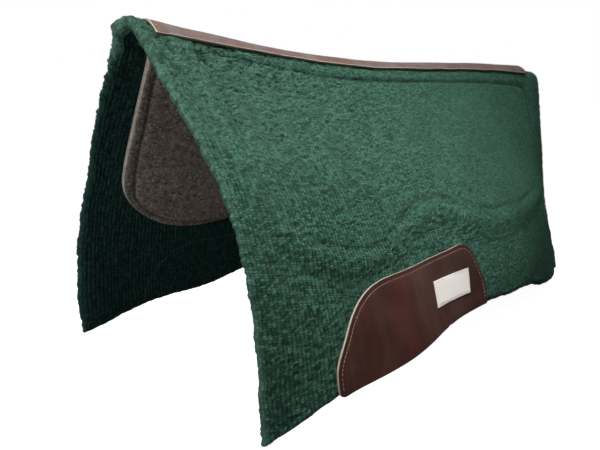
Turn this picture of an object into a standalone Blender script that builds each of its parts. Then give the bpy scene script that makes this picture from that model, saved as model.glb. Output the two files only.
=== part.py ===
"""Contoured western saddle pad.

A thick woven wool blanket folds over the horse's back. A felt insert is sewn under each side, clear of the spine. A
leather strip covers the crest, and a leather wear panel with a small woven label is sewn low on each side.

Metres, +Z up, +X towards the horse's head, +Y towards its left side. The origin is on the ground under the middle of
the pad, which stands on its four lower corners.

Every piece is laid out on one draped surface. u runs along the pad, 0 at the withers end and 1 at the loin end. s is
the distance down the side from the ridge, and n the height above the middle of the wool, outwards.
"""

import math

import bmesh
import bpy
import numpy as np
from mathutils import Matrix, Vector

# Overall size
LENGTH = 0.760
WOOL_T = 0.013
FELT_T = 0.010
LEATHER_T = 0.003
LABEL_T = 0.0009
THREAD_R = 0.0006
GAP = 0.0005
FELT_GAP = 0.0015
THREAD_GAP = 0.0004
FELT_THREAD_GAP = 0.0014

# The drape, as (station u, value) pairs
TOPLINE = ((0.00, 0.000), (0.25, -0.026), (0.50, -0.037), (0.75, -0.033), (1.00, -0.032))
DROP = (
    (0.00, 0.496),
    (0.12, 0.4535),
    (0.25, 0.4225),
    (0.38, 0.389),
    (0.50, 0.371),
    (0.62, 0.3655),
    (0.78, 0.368),
    (1.00, 0.377),
)
UPPER_SLOPE = ((0.00, 44.0), (0.33, 52.25), (0.67, 55.35), (1.00, 84.1))
LOWER_SLOPE = ((0.00, 91.0), (0.33, 74.4), (0.67, 83.2), (1.00, 76.0))
SLOPE_CHANGE_START, SLOPE_CHANGE_SPAN = 0.160, 0.280
CREST_FRONT, CREST_REAR = 0.0130, 0.0210
FRONT_EDGE_SWEEP = -0.017
EDGE_ROUND = 0.0025
EDGE_TRIM = 0.0006  # how far the rounding lifts the lowest corner

# The fold: the crest is the fixed middle, and each side turns on a line just outside its upper edge
CREST_S = 0.0296
FOLD_GAP = 0.003

# Spine leather
SPINE_HALF = ((0.028, 0.0285), (0.055, 0.0265), (0.120, 0.0225), (0.200, 0.0192), (0.300, 0.0180), (0.400, 0.0188), (1.0, 0.0185))
SPINE_U = (0.028, 0.945)
SPINE_SEAM_INSET = 0.0035

# Felt insert: its upper edge, its ends and the stations (u, s) of its lower edge
FELT_TOP_S = 0.0335
FELT_TOP_U = (0.046, 0.925)
FELT_EDGE = (
    (0.064, 0.240),
    (0.069, 0.260),
    (0.082, 0.279),
    (0.106, 0.294),
    (0.145, 0.305),
    (0.195, 0.305),
    (0.250, 0.295),
    (0.310, 0.275),
    (0.370, 0.251),
    (0.430, 0.243),
    (0.490, 0.257),
    (0.560, 0.266),
    (0.640, 0.263),
    (0.740, 0.246),
    (0.840, 0.223),
    (0.895, 0.206),
    (0.918, 0.190),
    (0.926, 0.165),
)
FELT_SEAM_TOP_S = 0.0295
FELT_SEAM_INSET = 0.010

# Wear leather: stations (u, s) of its free edge, from the front lower corner over the top to the rear lower corner
WEAR_EDGE = (
    (0.1180, 0.438),
    (0.1195, 0.425),
    (0.1260, 0.413),
    (0.1400, 0.395),
    (0.1600, 0.371),
    (0.1870, 0.350),
    (0.2240, 0.334),
    (0.2900, 0.321),
    (0.3700, 0.308),
    (0.4300, 0.299),
    (0.4560, 0.297),
    (0.4720, 0.304),
    (0.4820, 0.323),
    (0.4885, 0.341),
    (0.4905, 0.355),
)
WEAR_SEAM_INSET = 0.0045
WEAR_OVERHANG = 0.001
WEAR_CORNERS = (0.0095, 0.0060)

# Woven label: its corners (u, s), from the upper front one round
LABEL_CORNERS = ((0.3540, 0.338), (0.4500, 0.327), (0.4410, 0.3575), (0.3480, 0.3695))
LABEL_SEAM_INSET = 0.002


def spline(stations):
    """A natural cubic through the stations, as a function of u."""
    x = np.array([a for a, _ in stations], float)
    y = np.array([b for _, b in stations], float)
    h = np.diff(x)
    m = len(x)
    a = np.zeros((m, m))
    r = np.zeros(m)
    a[0, 0] = a[-1, -1] = 1
    for i in range(1, m - 1):
        a[i, i - 1], a[i, i], a[i, i + 1] = h[i - 1], 2 * (h[i - 1] + h[i]), h[i]
        r[i] = 6 * ((y[i + 1] - y[i]) / h[i] - (y[i] - y[i - 1]) / h[i - 1])
    k = np.linalg.solve(a, r)

    def value(q):
        q = np.asarray(q, float)
        i = np.clip(np.searchsorted(x, q) - 1, 0, m - 2)
        p, w = (x[i + 1] - q) / h[i], (q - x[i]) / h[i]
        return p * y[i] + w * y[i + 1] + ((p**3 - p) * k[i] + (w**3 - w) * k[i + 1]) * h[i] ** 2 / 6

    return value


def smooth(t):
    t = np.clip(t, 0, 1)
    return t * t * (3 - 2 * t)


topline, drop = spline(TOPLINE), spline(DROP)
upper, lower = spline(UPPER_SLOPE), spline(LOWER_SLOPE)


def slope(u, s):
    """Angle of the cloth from the horizontal, round the crest and down the side."""
    crest = CREST_FRONT + (CREST_REAR - CREST_FRONT) * u
    a, b = np.radians(upper(u)), np.radians(lower(u))
    turned = a * (1 - np.exp(-1.6 * (np.abs(s) / crest) ** 1.5))
    return turned + (b - a) * smooth((np.abs(s) - SLOPE_CHANGE_START) / SLOPE_CHANGE_SPAN)


# The drape is integrated down each side once, at fine stations, and read by interpolation.
FINE_U, FINE_S, DEEPEST = 241, 561, 0.560
us, ss = np.linspace(-0.02, 1.02, FINE_U), np.linspace(0, DEEPEST, FINE_S)
angle = slope(us[:, None], ss[None, :])
step = ss[1] - ss[0]
across = np.zeros_like(angle)
down = np.zeros_like(angle)
across[:, 1:] = np.cumsum((np.cos(angle[:, 1:]) + np.cos(angle[:, :-1])) / 2 * step, axis=1)
down[:, 1:] = np.cumsum((np.sin(angle[:, 1:]) + np.sin(angle[:, :-1])) / 2 * step, axis=1)


def read(table, u, s):
    a = (np.clip(u, us[0], us[-1]) - us[0]) / (us[1] - us[0])
    b = np.clip(s, 0, DEEPEST) / step
    i, j = min(int(a), FINE_U - 2), min(int(b), FINE_S - 2)
    p, q = a - i, b - j
    return (table[i, j] * (1 - p) + table[i + 1, j] * p) * (1 - q) + (table[i, j + 1] * (1 - p) + table[i + 1, j + 1] * p) * q


def drafted(u, s, n=0.0, side=1):
    """The drape before it is levelled. A negative s is the other side of the ridge."""
    if s < 0:
        side, s = -side, -s
    turn = float(slope(u, s))
    y = read(across, u, s) + n * math.sin(turn)
    z = float(topline(u)) - read(down, u, s) + n * math.cos(turn)
    x = LENGTH / 2 - LENGTH * u + FRONT_EDGE_SWEEP * (1 - u) * s / float(drop(u))
    return Vector((x, side * y, z))


def levelling():
    """Turns the pad so that its front and rear lower corners stand on one plane, and puts the origin under its middle."""
    front, rear = (drafted(u, float(drop(u)), -WOOL_T / 2) for u in (0, 1))
    pitch = Matrix.Rotation(math.atan2(front.z - rear.z, front.x - rear.x), 4, "Y")
    rim = [
        pitch @ drafted(u, s * float(drop(u)), n)
        for u in np.linspace(0, 1, 41)
        for s in (0, 0.02, 0.04, 0.08, 0.25, 0.5, 0.75, 1)
        for n in (-WOOL_T / 2, WOOL_T / 2)
    ]
    xs, zs = [p.x for p in rim], [p.z for p in rim]
    return Matrix.Translation((-(min(xs) + max(xs)) / 2, 0, -min(zs) - EDGE_TRIM)) @ pitch


LEVEL = levelling()


def place(u, s, n=0.0, side=1):
    return LEVEL @ drafted(u, s, n, side)


def curve_through(stations, count):
    """Points at even steps of distance along a smooth open curve through the (u, s) stations."""
    p = np.array(stations, float)
    t = np.concatenate([[0], np.cumsum(np.hypot(np.diff(p[:, 0]) * LENGTH, np.diff(p[:, 1])))])
    fu, fs = spline(list(zip(t, p[:, 0]))), spline(list(zip(t, p[:, 1])))
    q = np.linspace(0, t[-1], count)
    return list(zip(fu(q), fs(q)))


def inset(loop, distance, count):
    """A closed (u, s) outline moved inwards by a distance, as count even points."""
    p = np.array(loop, float)
    p[:, 0] *= LENGTH
    area = 0.5 * np.sum(p[:, 0] * np.roll(p[:, 1], -1) - np.roll(p[:, 0], -1) * p[:, 1])
    along = np.roll(p, -1, 0) - np.roll(p, 1, 0)
    along /= np.linalg.norm(along, axis=1)[:, None]
    inward = np.stack([-along[:, 1], along[:, 0]], 1) * (1 if area > 0 else -1)
    # the crossing of the two offset sides at each corner
    a = p - np.roll(p, 1, 0)
    b = np.roll(p, -1, 0) - p
    half = np.sqrt(np.clip((1 + np.sum(a * b, 1) / (np.linalg.norm(a, axis=1) * np.linalg.norm(b, axis=1))) / 2, 0.25, 1))
    q = p + inward * (distance / half)[:, None]
    closed = np.vstack([q, q[:1]])
    t = np.concatenate([[0], np.cumsum(np.linalg.norm(np.diff(closed, axis=0), axis=1))])
    w = np.linspace(0, t[-1], count + 1)[:-1]
    return [(x / LENGTH, y) for x, y in zip(np.interp(w, t, closed[:, 0]), np.interp(w, t, closed[:, 1]))]


def felt_rows(columns, top_s=FELT_TOP_S):
    """(upper end, lower end) of each column of the felt, front to rear."""
    bottom = curve_through(FELT_EDGE, columns + 1)
    first, last = bottom[0][0], bottom[-1][0]
    out = []
    for u, s in bottom:
        share = (u - first) / (last - first)
        out.append(((FELT_TOP_U[0] + (FELT_TOP_U[1] - FELT_TOP_U[0]) * share, top_s), (u, s)))
    return out


def wear_rows(columns):
    """The wear leather's upper and lower edge; its two lower corners are rounded."""
    out = []
    for u, s in curve_through(WEAR_EDGE, columns + 1):
        foot = float(drop(u)) + WEAR_OVERHANG
        for end, radius in ((WEAR_EDGE[0][0], WEAR_CORNERS[0]), (WEAR_EDGE[-1][0], WEAR_CORNERS[1])):
            d = min(abs(u - end) * LENGTH / radius, 1)
            foot -= radius * (1 - math.sqrt(1 - (1 - d) ** 2))
        out.append(((u, s), (u, foot)))
    return out


def label_rows(columns):
    a, b, c, d = (np.array(p) for p in LABEL_CORNERS)
    return [(tuple(a + (b - a) * t), tuple(d + (c - d) * t)) for t in np.linspace(0, 1, columns + 1)]


def outline(rows, between=6):
    """The closed outline of a sheet given by its columns."""
    tops, bottoms = [r[0] for r in rows], [r[1] for r in rows]
    rear = [tuple(np.array(tops[-1]) + (np.array(bottoms[-1]) - np.array(tops[-1])) * k / between) for k in range(1, between)]
    front = [tuple(np.array(bottoms[0]) + (np.array(tops[0]) - np.array(bottoms[0])) * k / between) for k in range(1, between)]
    return tops + rear + bottoms[::-1] + front


def clear_scene():
    for o in list(bpy.data.objects):
        bpy.data.objects.remove(o)


def material(name, colour, roughness, metallic=0.0):
    m = bpy.data.materials.new(name)
    m.use_nodes = True
    shader = m.node_tree.nodes["Principled BSDF"]
    shader.inputs["Base Color"].default_value = (*colour, 1)
    shader.inputs["Roughness"].default_value = roughness
    shader.inputs["Metallic"].default_value = metallic
    m.diffuse_color = (*colour, 1)
    return m


def sheet(name, columns, rows, at, thickness, offset, colour, rough, pivot=None, bevel=0.0):
    """A grid bent by at(a, b) to a point on the drape, its upper side outwards, and given its thickness."""
    bm = bmesh.new()
    bmesh.ops.create_grid(bm, x_segments=columns, y_segments=rows, size=0.5)
    origin = Vector(pivot or (0, 0, 0))
    for v in bm.verts:
        v.co = at(v.co.x + 0.5, v.co.y + 0.5) - origin
    bm.normal_update()
    # The drape's outer side faces away from the pad's middle plane and up.
    lean = sum((f.normal.dot(f.calc_center_median() + origin - Vector((0, 0, 0.1))) for f in bm.faces))
    if lean < 0:
        bmesh.ops.reverse_faces(bm, faces=bm.faces)
    mesh = bpy.data.meshes.new(name)
    bm.to_mesh(mesh)
    bm.free()
    mesh.shade_smooth()
    obj = bpy.data.objects.new(name, mesh)
    obj.location = origin
    pad.objects.link(obj)
    mesh.materials.append(material(name, colour, rough))
    solid = obj.modifiers.new("thickness", "SOLIDIFY")
    solid.thickness, solid.offset = thickness, offset
    solid.use_even_offset = False
    if bevel:
        rounding = obj.modifiers.new("rounded_edge", "BEVEL")
        rounding.width, rounding.segments = bevel, 1
        rounding.limit_method, rounding.angle_limit = "ANGLE", math.radians(55)
    return obj


def thread(name, points, radius, colour, pivot=None, cyclic=True):
    origin = Vector(pivot or (0, 0, 0))
    data = bpy.data.curves.new(name, "CURVE")
    data.dimensions = "3D"
    run = data.splines.new("POLY")
    run.points.add(len(points) - 1)
    for k, p in enumerate(points):
        run.points[k].co = (*(p - origin), 1)
    run.use_cyclic_u = cyclic
    data.bevel_depth = radius
    data.bevel_resolution = 0
    data.use_fill_caps = not cyclic
    obj = bpy.data.objects.new(name, data)
    obj.location = origin
    data.materials.append(material(name, colour, 0.6))
    pad.objects.link(obj)
    return obj


clear_scene()
pad = bpy.data.collections.new("saddle_pad")
bpy.context.scene.collection.children.link(pad)

GREEN = (0.022, 0.085, 0.055)
BROWN_FELT = (0.085, 0.065, 0.052)
BROWN_LEATHER = (0.075, 0.028, 0.020)
TAN_THREAD = (0.36, 0.24, 0.13)
GREEN_THREAD = (0.015, 0.055, 0.038)
WHITE = (0.78, 0.77, 0.73)

# The crest of the blanket, from side to side over the spine.
sheet(
    "wool_crest",
    18,
    16,
    lambda a, b: place(a, (2 * b - 1) * CREST_S),
    WOOL_T,
    0,
    GREEN,
    0.95,
)


def strip_u(a):
    """Stations of the spine leather, closer together where it widens at the front."""
    return SPINE_U[0] + (SPINE_U[1] - SPINE_U[0]) * a**1.25


def strip_half(u):
    return float(np.interp(u, [a for a, _ in SPINE_HALF], [b for _, b in SPINE_HALF]))


sheet(
    "spine_leather",
    18,
    10,
    lambda a, b: place(strip_u(a), (2 * b - 1) * strip_half(strip_u(a)), WOOL_T / 2 + GAP),
    LEATHER_T,
    1,
    BROWN_LEATHER,
    0.5,
)


def spine_seam(n):
    front, rear = SPINE_U[0] + 0.006, SPINE_U[1] - 0.006
    stations = [front + (rear - front) * (k / 15) ** 1.25 for k in range(16)]

    def across(u, share):
        return place(u, share * (strip_half(u) - SPINE_SEAM_INSET), n)

    runs = [across(u, 1) for u in stations]
    runs += [across(rear, c) for c in (0.75, 0.5, 0.25, 0, -0.25, -0.5, -0.75)]
    runs += [across(u, -1) for u in stations[::-1]]
    runs += [across(front, c) for c in (-0.75, -0.5, -0.25, 0, 0.25, 0.5, 0.75)]
    return runs


ON_LEATHER = WOOL_T / 2 + GAP + LEATHER_T
thread("spine_needle_thread", spine_seam(ON_LEATHER + THREAD_GAP + THREAD_R), THREAD_R, TAN_THREAD)
thread("spine_bobbin_thread", spine_seam(-WOOL_T / 2 - THREAD_GAP - THREAD_R), THREAD_R, TAN_THREAD)

# Each side turns on a straight line that follows the outer upper edge of its cloth from withers to loin.
HINGE_U = (0.0, 1.0)
HINGE_LIFT = 0.004


def hinge_line(side):
    ends = [place(u, CREST_S + FOLD_GAP / 2, WOOL_T / 2, side) for u in (0.0, 0.25, 0.5, 0.75, 1.0)]
    front, rear = ends[0], ends[-1]
    # raised so that the line passes on or over the edge at every station
    lift = max(e.z - (front.z + (rear.z - front.z) * (front.x - e.x) / (front.x - rear.x)) for e in ends)
    inner = min(abs(e.y) for e in ends)
    up = Vector((0, 0, lift + HINGE_LIFT))
    return (
        Vector((front.x, side * inner, front.z)) + up,
        Vector((rear.x, side * inner, rear.z)) + up,
    )


for side, word in ((1, "left"), (-1, "right")):
    front, rear = hinge_line(side)
    middle = (front + rear) / 2
    start = CREST_S + FOLD_GAP
    sheet(
        f"wool_{word}",
        18,
        14,
        lambda a, b: place(a, start + (float(drop(a)) - start) * b, 0, side),
        WOOL_T,
        0,
        GREEN,
        0.95,
        pivot=middle,
        bevel=EDGE_ROUND,
    )

    felt = felt_rows(20)

    def on_felt(a, b, rows=felt, n=-WOOL_T / 2 - FELT_GAP):
        top, bottom = rows[round(a * 20)]
        return place(top[0] + (bottom[0] - top[0]) * b, top[1] + (bottom[1] - top[1]) * b, n, side)

    sheet(f"felt_{word}", 20, 10, on_felt, FELT_T, -1, BROWN_FELT, 0.98, pivot=middle)
    seam = inset(outline(felt_rows(48, FELT_SEAM_TOP_S)), FELT_SEAM_INSET, 44)
    thread(
        f"felt_bobbin_thread_{word}",
        [place(u, s, -WOOL_T / 2 - FELT_GAP - FELT_T - FELT_THREAD_GAP - THREAD_R, side) for u, s in seam],
        THREAD_R,
        TAN_THREAD,
        pivot=middle,
    )
    thread(
        f"felt_needle_thread_{word}",
        [place(u, s, WOOL_T / 2 + FELT_THREAD_GAP + THREAD_R, side) for u, s in seam],
        THREAD_R,
        GREEN_THREAD,
        pivot=middle,
    )

    wear = wear_rows(20)

    def on_wear(a, b, rows=wear, n=WOOL_T / 2 + GAP):
        top, bottom = rows[round(a * 20)]
        return place(top[0], top[1] + (bottom[1] - top[1]) * b, n, side)

    sheet(f"wear_leather_{word}", 20, 6, on_wear, LEATHER_T, 1, BROWN_LEATHER, 0.45, pivot=middle)
    # the panel is sewn up one end, along its top and down the other; its foot is left plain
    loop = inset(outline(wear_rows(48)), WEAR_SEAM_INSET, 56)
    sewn = [s < drop(u) - WEAR_SEAM_INSET - 0.0005 for u, s in loop]
    first = next(k for k in range(len(loop)) if sewn[k] and not sewn[k - 1])
    seam = [loop[(first + k) % len(loop)] for k in range(sum(sewn))]
    thread(
        f"wear_needle_thread_{word}",
        [place(u, s, ON_LEATHER + THREAD_GAP + THREAD_R, side) for u, s in seam],
        THREAD_R,
        TAN_THREAD,
        pivot=middle,
        cyclic=False,
    )
    thread(
        f"wear_bobbin_thread_{word}",
        [place(u, s, -WOOL_T / 2 - THREAD_GAP - THREAD_R, side) for u, s in seam],
        THREAD_R,
        GREEN_THREAD,
        pivot=middle,
        cyclic=False,
    )

    label = label_rows(4)

    def on_label(a, b, rows=label, n=ON_LEATHER + GAP):
        top, bottom = rows[round(a * 4)]
        return place(top[0] + (bottom[0] - top[0]) * b, top[1] + (bottom[1] - top[1]) * b, n, side)

    sheet(f"label_{word}", 4, 2, on_label, LABEL_T, 1, WHITE, 0.8, pivot=middle)
    seam = inset(outline(label_rows(6), 3), LABEL_SEAM_INSET, 20)
    thread(
        f"label_thread_{word}",
        [place(u, s, ON_LEATHER + GAP + LABEL_T + THREAD_GAP + THREAD_R / 2, side) for u, s in seam],
        THREAD_R / 2,
        WHITE,
        pivot=middle,
    )
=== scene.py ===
"""The looks of the contoured western saddle pad: woven wool, felt, leather, stitching and label, round the CAD frame."""

import math

import bpy
import numpy as np
from mathutils import Matrix, Vector


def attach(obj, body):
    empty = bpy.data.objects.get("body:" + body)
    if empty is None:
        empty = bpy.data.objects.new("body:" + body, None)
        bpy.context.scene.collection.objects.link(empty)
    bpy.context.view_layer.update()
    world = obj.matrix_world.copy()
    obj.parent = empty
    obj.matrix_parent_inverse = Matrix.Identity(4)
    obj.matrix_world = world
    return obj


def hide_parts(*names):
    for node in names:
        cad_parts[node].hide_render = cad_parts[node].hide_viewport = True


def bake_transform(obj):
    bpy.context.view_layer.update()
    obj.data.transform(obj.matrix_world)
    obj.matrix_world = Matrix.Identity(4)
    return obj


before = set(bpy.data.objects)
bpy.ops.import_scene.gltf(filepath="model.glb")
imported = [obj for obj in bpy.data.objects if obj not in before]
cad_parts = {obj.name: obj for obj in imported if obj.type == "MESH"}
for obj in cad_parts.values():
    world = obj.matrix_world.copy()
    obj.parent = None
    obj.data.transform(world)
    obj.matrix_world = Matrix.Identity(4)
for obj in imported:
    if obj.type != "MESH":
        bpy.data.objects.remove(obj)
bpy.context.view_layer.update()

# ---------------------------------------------------------------------------------------------------------------
# The drape, the same surface as the CAD's: u runs from the withers end to the loin end, s down a side from the ridge,
# n outwards from the middle of the wool.
LENGTH = 0.760
WOOL_T, FELT_T, LEATHER_T, LABEL_T = 0.013, 0.010, 0.003, 0.0009
GAP, FELT_GAP = 0.0005, 0.0015
TOPLINE = ((0.00, 0.000), (0.25, -0.026), (0.50, -0.037), (0.75, -0.033), (1.00, -0.032))
DROP = ((0.00, 0.496), (0.12, 0.4535), (0.25, 0.4225), (0.38, 0.389), (0.50, 0.371), (0.62, 0.3655), (0.78, 0.368), (1.00, 0.377))
UPPER_SLOPE = ((0.00, 44.0), (0.33, 52.25), (0.67, 55.35), (1.00, 84.1))
LOWER_SLOPE = ((0.00, 91.0), (0.33, 74.4), (0.67, 83.2), (1.00, 76.0))
SLOPE_CHANGE_START, SLOPE_CHANGE_SPAN = 0.160, 0.280
CREST_FRONT, CREST_REAR = 0.0130, 0.0210
FRONT_EDGE_SWEEP = -0.017
SPINE_HALF = 0.0185
SPINE_U = (0.028, 0.945)
FELT_TOP_S = 0.0335
FELT_TOP_U = (0.046, 0.925)
FELT_EDGE = (
    (0.064, 0.240), (0.069, 0.260), (0.082, 0.279), (0.106, 0.294), (0.145, 0.305), (0.195, 0.305), (0.250, 0.295), (0.310, 0.275), (0.370, 0.251),
    (0.430, 0.243), (0.490, 0.257), (0.560, 0.266), (0.640, 0.263), (0.740, 0.246), (0.840, 0.223), (0.895, 0.206), (0.918, 0.190), (0.926, 0.165),
)
WEAR_EDGE = (
    (0.1180, 0.438), (0.1195, 0.425), (0.1260, 0.413), (0.1400, 0.395), (0.1600, 0.371), (0.1870, 0.350), (0.2240, 0.334), (0.2900, 0.321),
    (0.3700, 0.308), (0.4300, 0.299), (0.4560, 0.297), (0.4720, 0.304), (0.4820, 0.323), (0.4885, 0.341), (0.4905, 0.355),
)
WEAR_OVERHANG = 0.001
LABEL_CORNERS = ((0.3540, 0.338), (0.4500, 0.327), (0.4410, 0.3575), (0.3480, 0.3695))


def spline(stations):
    x = np.array([a for a, _ in stations], float)
    y = np.array([b for _, b in stations], float)
    h = np.diff(x)
    m = len(x)
    a = np.zeros((m, m))
    r = np.zeros(m)
    a[0, 0] = a[-1, -1] = 1
    for i in range(1, m - 1):
        a[i, i - 1], a[i, i], a[i, i + 1] = h[i - 1], 2 * (h[i - 1] + h[i]), h[i]
        r[i] = 6 * ((y[i + 1] - y[i]) / h[i] - (y[i] - y[i - 1]) / h[i - 1])
    k = np.linalg.solve(a, r)

    def value(q):
        q = np.asarray(q, float)
        i = np.clip(np.searchsorted(x, q) - 1, 0, m - 2)
        p, w = (x[i + 1] - q) / h[i], (q - x[i]) / h[i]
        return p * y[i] + w * y[i + 1] + ((p**3 - p) * k[i] + (w**3 - w) * k[i + 1]) * h[i] ** 2 / 6

    return value


def smooth(t):
    t = np.clip(t, 0, 1)
    return t * t * (3 - 2 * t)


topline, drop = spline(TOPLINE), spline(DROP)


def strip_half(u):
    """Half the width of the spine leather: it widens towards its front end."""
    return np.interp(u, (0.028, 0.055, 0.120, 0.200, 0.300, 0.400, 1.0), (0.0285, 0.0265, 0.0225, 0.0192, 0.0180, 0.0188, 0.0185))


upper, lower = spline(UPPER_SLOPE), spline(LOWER_SLOPE)


def slope(u, s):
    crest = CREST_FRONT + (CREST_REAR - CREST_FRONT) * u
    a, b = np.radians(upper(u)), np.radians(lower(u))
    turned = a * (1 - np.exp(-1.6 * (np.abs(s) / crest) ** 1.5))
    return turned + (b - a) * smooth((np.abs(s) - SLOPE_CHANGE_START) / SLOPE_CHANGE_SPAN)


FINE_U, FINE_S, DEEPEST = 1041, 1121, 0.560
us, ss = np.linspace(-0.02, 1.02, FINE_U), np.linspace(0, DEEPEST, FINE_S)
angle = slope(us[:, None], ss[None, :])
step = ss[1] - ss[0]
across = np.zeros_like(angle)
down = np.zeros_like(angle)
across[:, 1:] = np.cumsum((np.cos(angle[:, 1:]) + np.cos(angle[:, :-1])) / 2 * step, axis=1)
down[:, 1:] = np.cumsum((np.sin(angle[:, 1:]) + np.sin(angle[:, :-1])) / 2 * step, axis=1)


def read(table, u, s):
    a = (np.clip(u, us[0], us[-1]) - us[0]) / (us[1] - us[0])
    b = np.clip(s, 0, DEEPEST) / step
    i = np.minimum(a.astype(int), FINE_U - 2)
    j = np.minimum(b.astype(int), FINE_S - 2)
    p, q = a - i, b - j
    return (table[i, j] * (1 - p) + table[i + 1, j] * p) * (1 - q) + (table[i, j + 1] * (1 - p) + table[i + 1, j + 1] * p) * q


def drafted(u, s, n=0.0, side=1):
    """Points of the drape before it is levelled, as an array; a negative s is the other side of the ridge."""
    u, s, n = np.broadcast_arrays(np.asarray(u, float), np.asarray(s, float), np.asarray(n, float))
    flip = np.where(s < 0, -side, side)
    s = np.abs(s)
    turn = read(angle, u, s)
    y = read(across, u, s) + n * np.sin(turn)
    z = topline(u) - read(down, u, s) + n * np.cos(turn)
    x = LENGTH / 2 - LENGTH * u + FRONT_EDGE_SWEEP * (1 - u) * s / drop(u)
    return np.stack([x, flip * y, z], -1)


def levelling():
    front, rear = (drafted(u, drop(u), -WOOL_T / 2) for u in (0.0, 1.0))
    pitch = Matrix.Rotation(math.atan2(front[2] - rear[2], front[0] - rear[0]), 4, "Y")
    rim = [
        pitch @ Vector(drafted(u, s * drop(u), n))
        for u in np.linspace(0, 1, 41)
        for s in (0, 0.02, 0.04, 0.08, 0.25, 0.5, 0.75, 1)
        for n in (-WOOL_T / 2, WOOL_T / 2)
    ]
    xs, zs = [p.x for p in rim], [p.z for p in rim]
    return Matrix.Translation((-(min(xs) + max(xs)) / 2, 0, -min(zs) - 0.0006)) @ pitch


LEVEL = levelling()
LEVEL_M = np.array(LEVEL)


def hang(u, s):
    """How far the foot of a side, from the wear leather's crease rearwards, hangs inwards of the drape."""
    u, s = np.broadcast_arrays(np.asarray(u, float), np.abs(np.asarray(s, float)))
    start = np.interp(u, (0.37, 0.44, 0.49, 0.56, 0.64, 0.74, 0.80, 0.84, 0.895, 1.0), (0.265, 0.256, 0.259, 0.266, 0.262, 0.247, 0.233, 0.221, 0.206, 0.190))
    t = np.clip((s - start) / (drop(u) - start), 0, 1.1)
    return 0.0160 * smooth((u - 0.385) / 0.22) * (1 - 1.10 * smooth((u - 0.78) / 0.22)) * t**1.12


SAG_U = (0.0, 0.02, 0.045, 0.070, 0.100, 0.125, 0.150, 0.190, 0.240, 0.280, 0.320, 0.354, 0.400, 0.445, 0.500, 0.565, 0.630, 0.710, 0.800, 1.0)
SAG_S = (0.0025, 0.0035, 0.0030, 0.0010, -0.0005, -0.0022, -0.0030, -0.0022, -0.0012, 0.0, -0.0005, -0.0032, -0.0038, -0.0015, 0.0013, 0.0060, 0.0045, 0.0015, 0.0, 0.0)


def sag(u, s):
    """How much longer or shorter than its cut line the foot of a side hangs."""
    u, s = np.broadcast_arrays(np.clip(np.asarray(u, float), 0, 1), np.abs(np.asarray(s, float)))
    run = np.linspace(0, 1, 201)
    wave = np.convolve(np.pad(np.interp(run, SAG_U, SAG_S), 3, mode="edge"), np.ones(7) / 7, mode="valid")
    return np.interp(u, run, wave) * smooth((s / drop(u) - 0.70) / 0.28)


def draped(u, s, n=0.0, side=1):
    n = np.asarray(n, float) - hang(u, s)
    s = np.asarray(s, float)
    p = drafted(u, s + np.where(s < 0, -1, 1) * sag(u, s), n, side)
    return p @ LEVEL_M[:3, :3].T + LEVEL_M[:3, 3]


def place(u, s, n=0.0, side=1):
    """Points of the drape in the frame. At its front end the fold is fuller on the off side."""
    p = draped(u, s, n, side)
    u, s, n = np.broadcast_arrays(np.asarray(u, float), np.asarray(s, float), np.asarray(n, float))
    off = np.where(s < 0, -side, side) < 0
    s = np.abs(s)
    full = off * np.exp(-((u * LENGTH / 0.050) ** 2)) * smooth((s - 0.001) / 0.018) * (1 - smooth((s - 0.024) / 0.080))
    out = smooth((n + WOOL_T / 2) / WOOL_T)[..., None]
    near = (1 - smooth((s - 0.018) / 0.024))[..., None]
    bulge = out * np.array((0, -0.0112, 0.0032)) + near * ((1 - out) * np.array((0, -0.0040, -0.0008)) + np.array((0.0055, 0, 0)))
    return p + full[..., None] * bulge


def outward(u, s, side=1):
    """Unit outward normals of the drape."""
    d = draped(u, s, 0.001, side) - draped(u, s, 0.0, side)
    return d / np.linalg.norm(d, axis=-1, keepdims=True)


# ---------------------------------------------------------------------------------------------------------------
# Noise and outlines


def value_noise(x, y, seed):
    table = np.random.RandomState(seed).rand(256, 256)
    xi, yi = np.floor(x).astype(int), np.floor(y).astype(int)
    fx, fy = x - xi, y - yi
    fx, fy = fx * fx * (3 - 2 * fx), fy * fy * (3 - 2 * fy)
    a, b = table[xi % 256, yi % 256], table[(xi + 1) % 256, yi % 256]
    c, d = table[xi % 256, (yi + 1) % 256], table[(xi + 1) % 256, (yi + 1) % 256]
    return ((a * (1 - fx) + b * fx) * (1 - fy) + (c * (1 - fx) + d * fx) * fy) * 2 - 1


def fbm(x, y, octaves, seed):
    total, amp = 0, 1.0
    for k in range(octaves):
        total = total + amp * value_noise(x * 2**k + 13.7 * k, y * 2**k + 7.3 * k, seed + k)
        amp *= 0.5
    return total


def curve_through(stations, count):
    p = np.array(stations, float)
    t = np.concatenate([[0], np.cumsum(np.hypot(np.diff(p[:, 0]) * LENGTH, np.diff(p[:, 1])))])
    fu, fs = spline(list(zip(t, p[:, 0]))), spline(list(zip(t, p[:, 1])))
    q = np.linspace(0, t[-1], count)
    return np.stack([fu(q), fs(q)], 1)


def felt_rows(columns):
    bottom = curve_through(FELT_EDGE, columns + 1)
    share = (bottom[:, 0] - bottom[0, 0]) / (bottom[-1, 0] - bottom[0, 0])
    top = np.stack([FELT_TOP_U[0] + (FELT_TOP_U[1] - FELT_TOP_U[0]) * share, np.full(columns + 1, FELT_TOP_S)], 1)
    return top, bottom


def wear_rows(columns):
    top = curve_through(WEAR_EDGE, columns + 1)
    bottom = np.stack([top[:, 0], drop(top[:, 0]) + WEAR_OVERHANG], 1)
    for end, radius in ((0, 0.0095), (-1, 0.0060)):
        d = np.clip(np.abs(top[:, 0] - top[end, 0]) * LENGTH / radius, 0, 1)
        bottom[:, 1] -= radius * (1 - np.sqrt(1 - (1 - d) ** 2))
    return top, bottom


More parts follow.
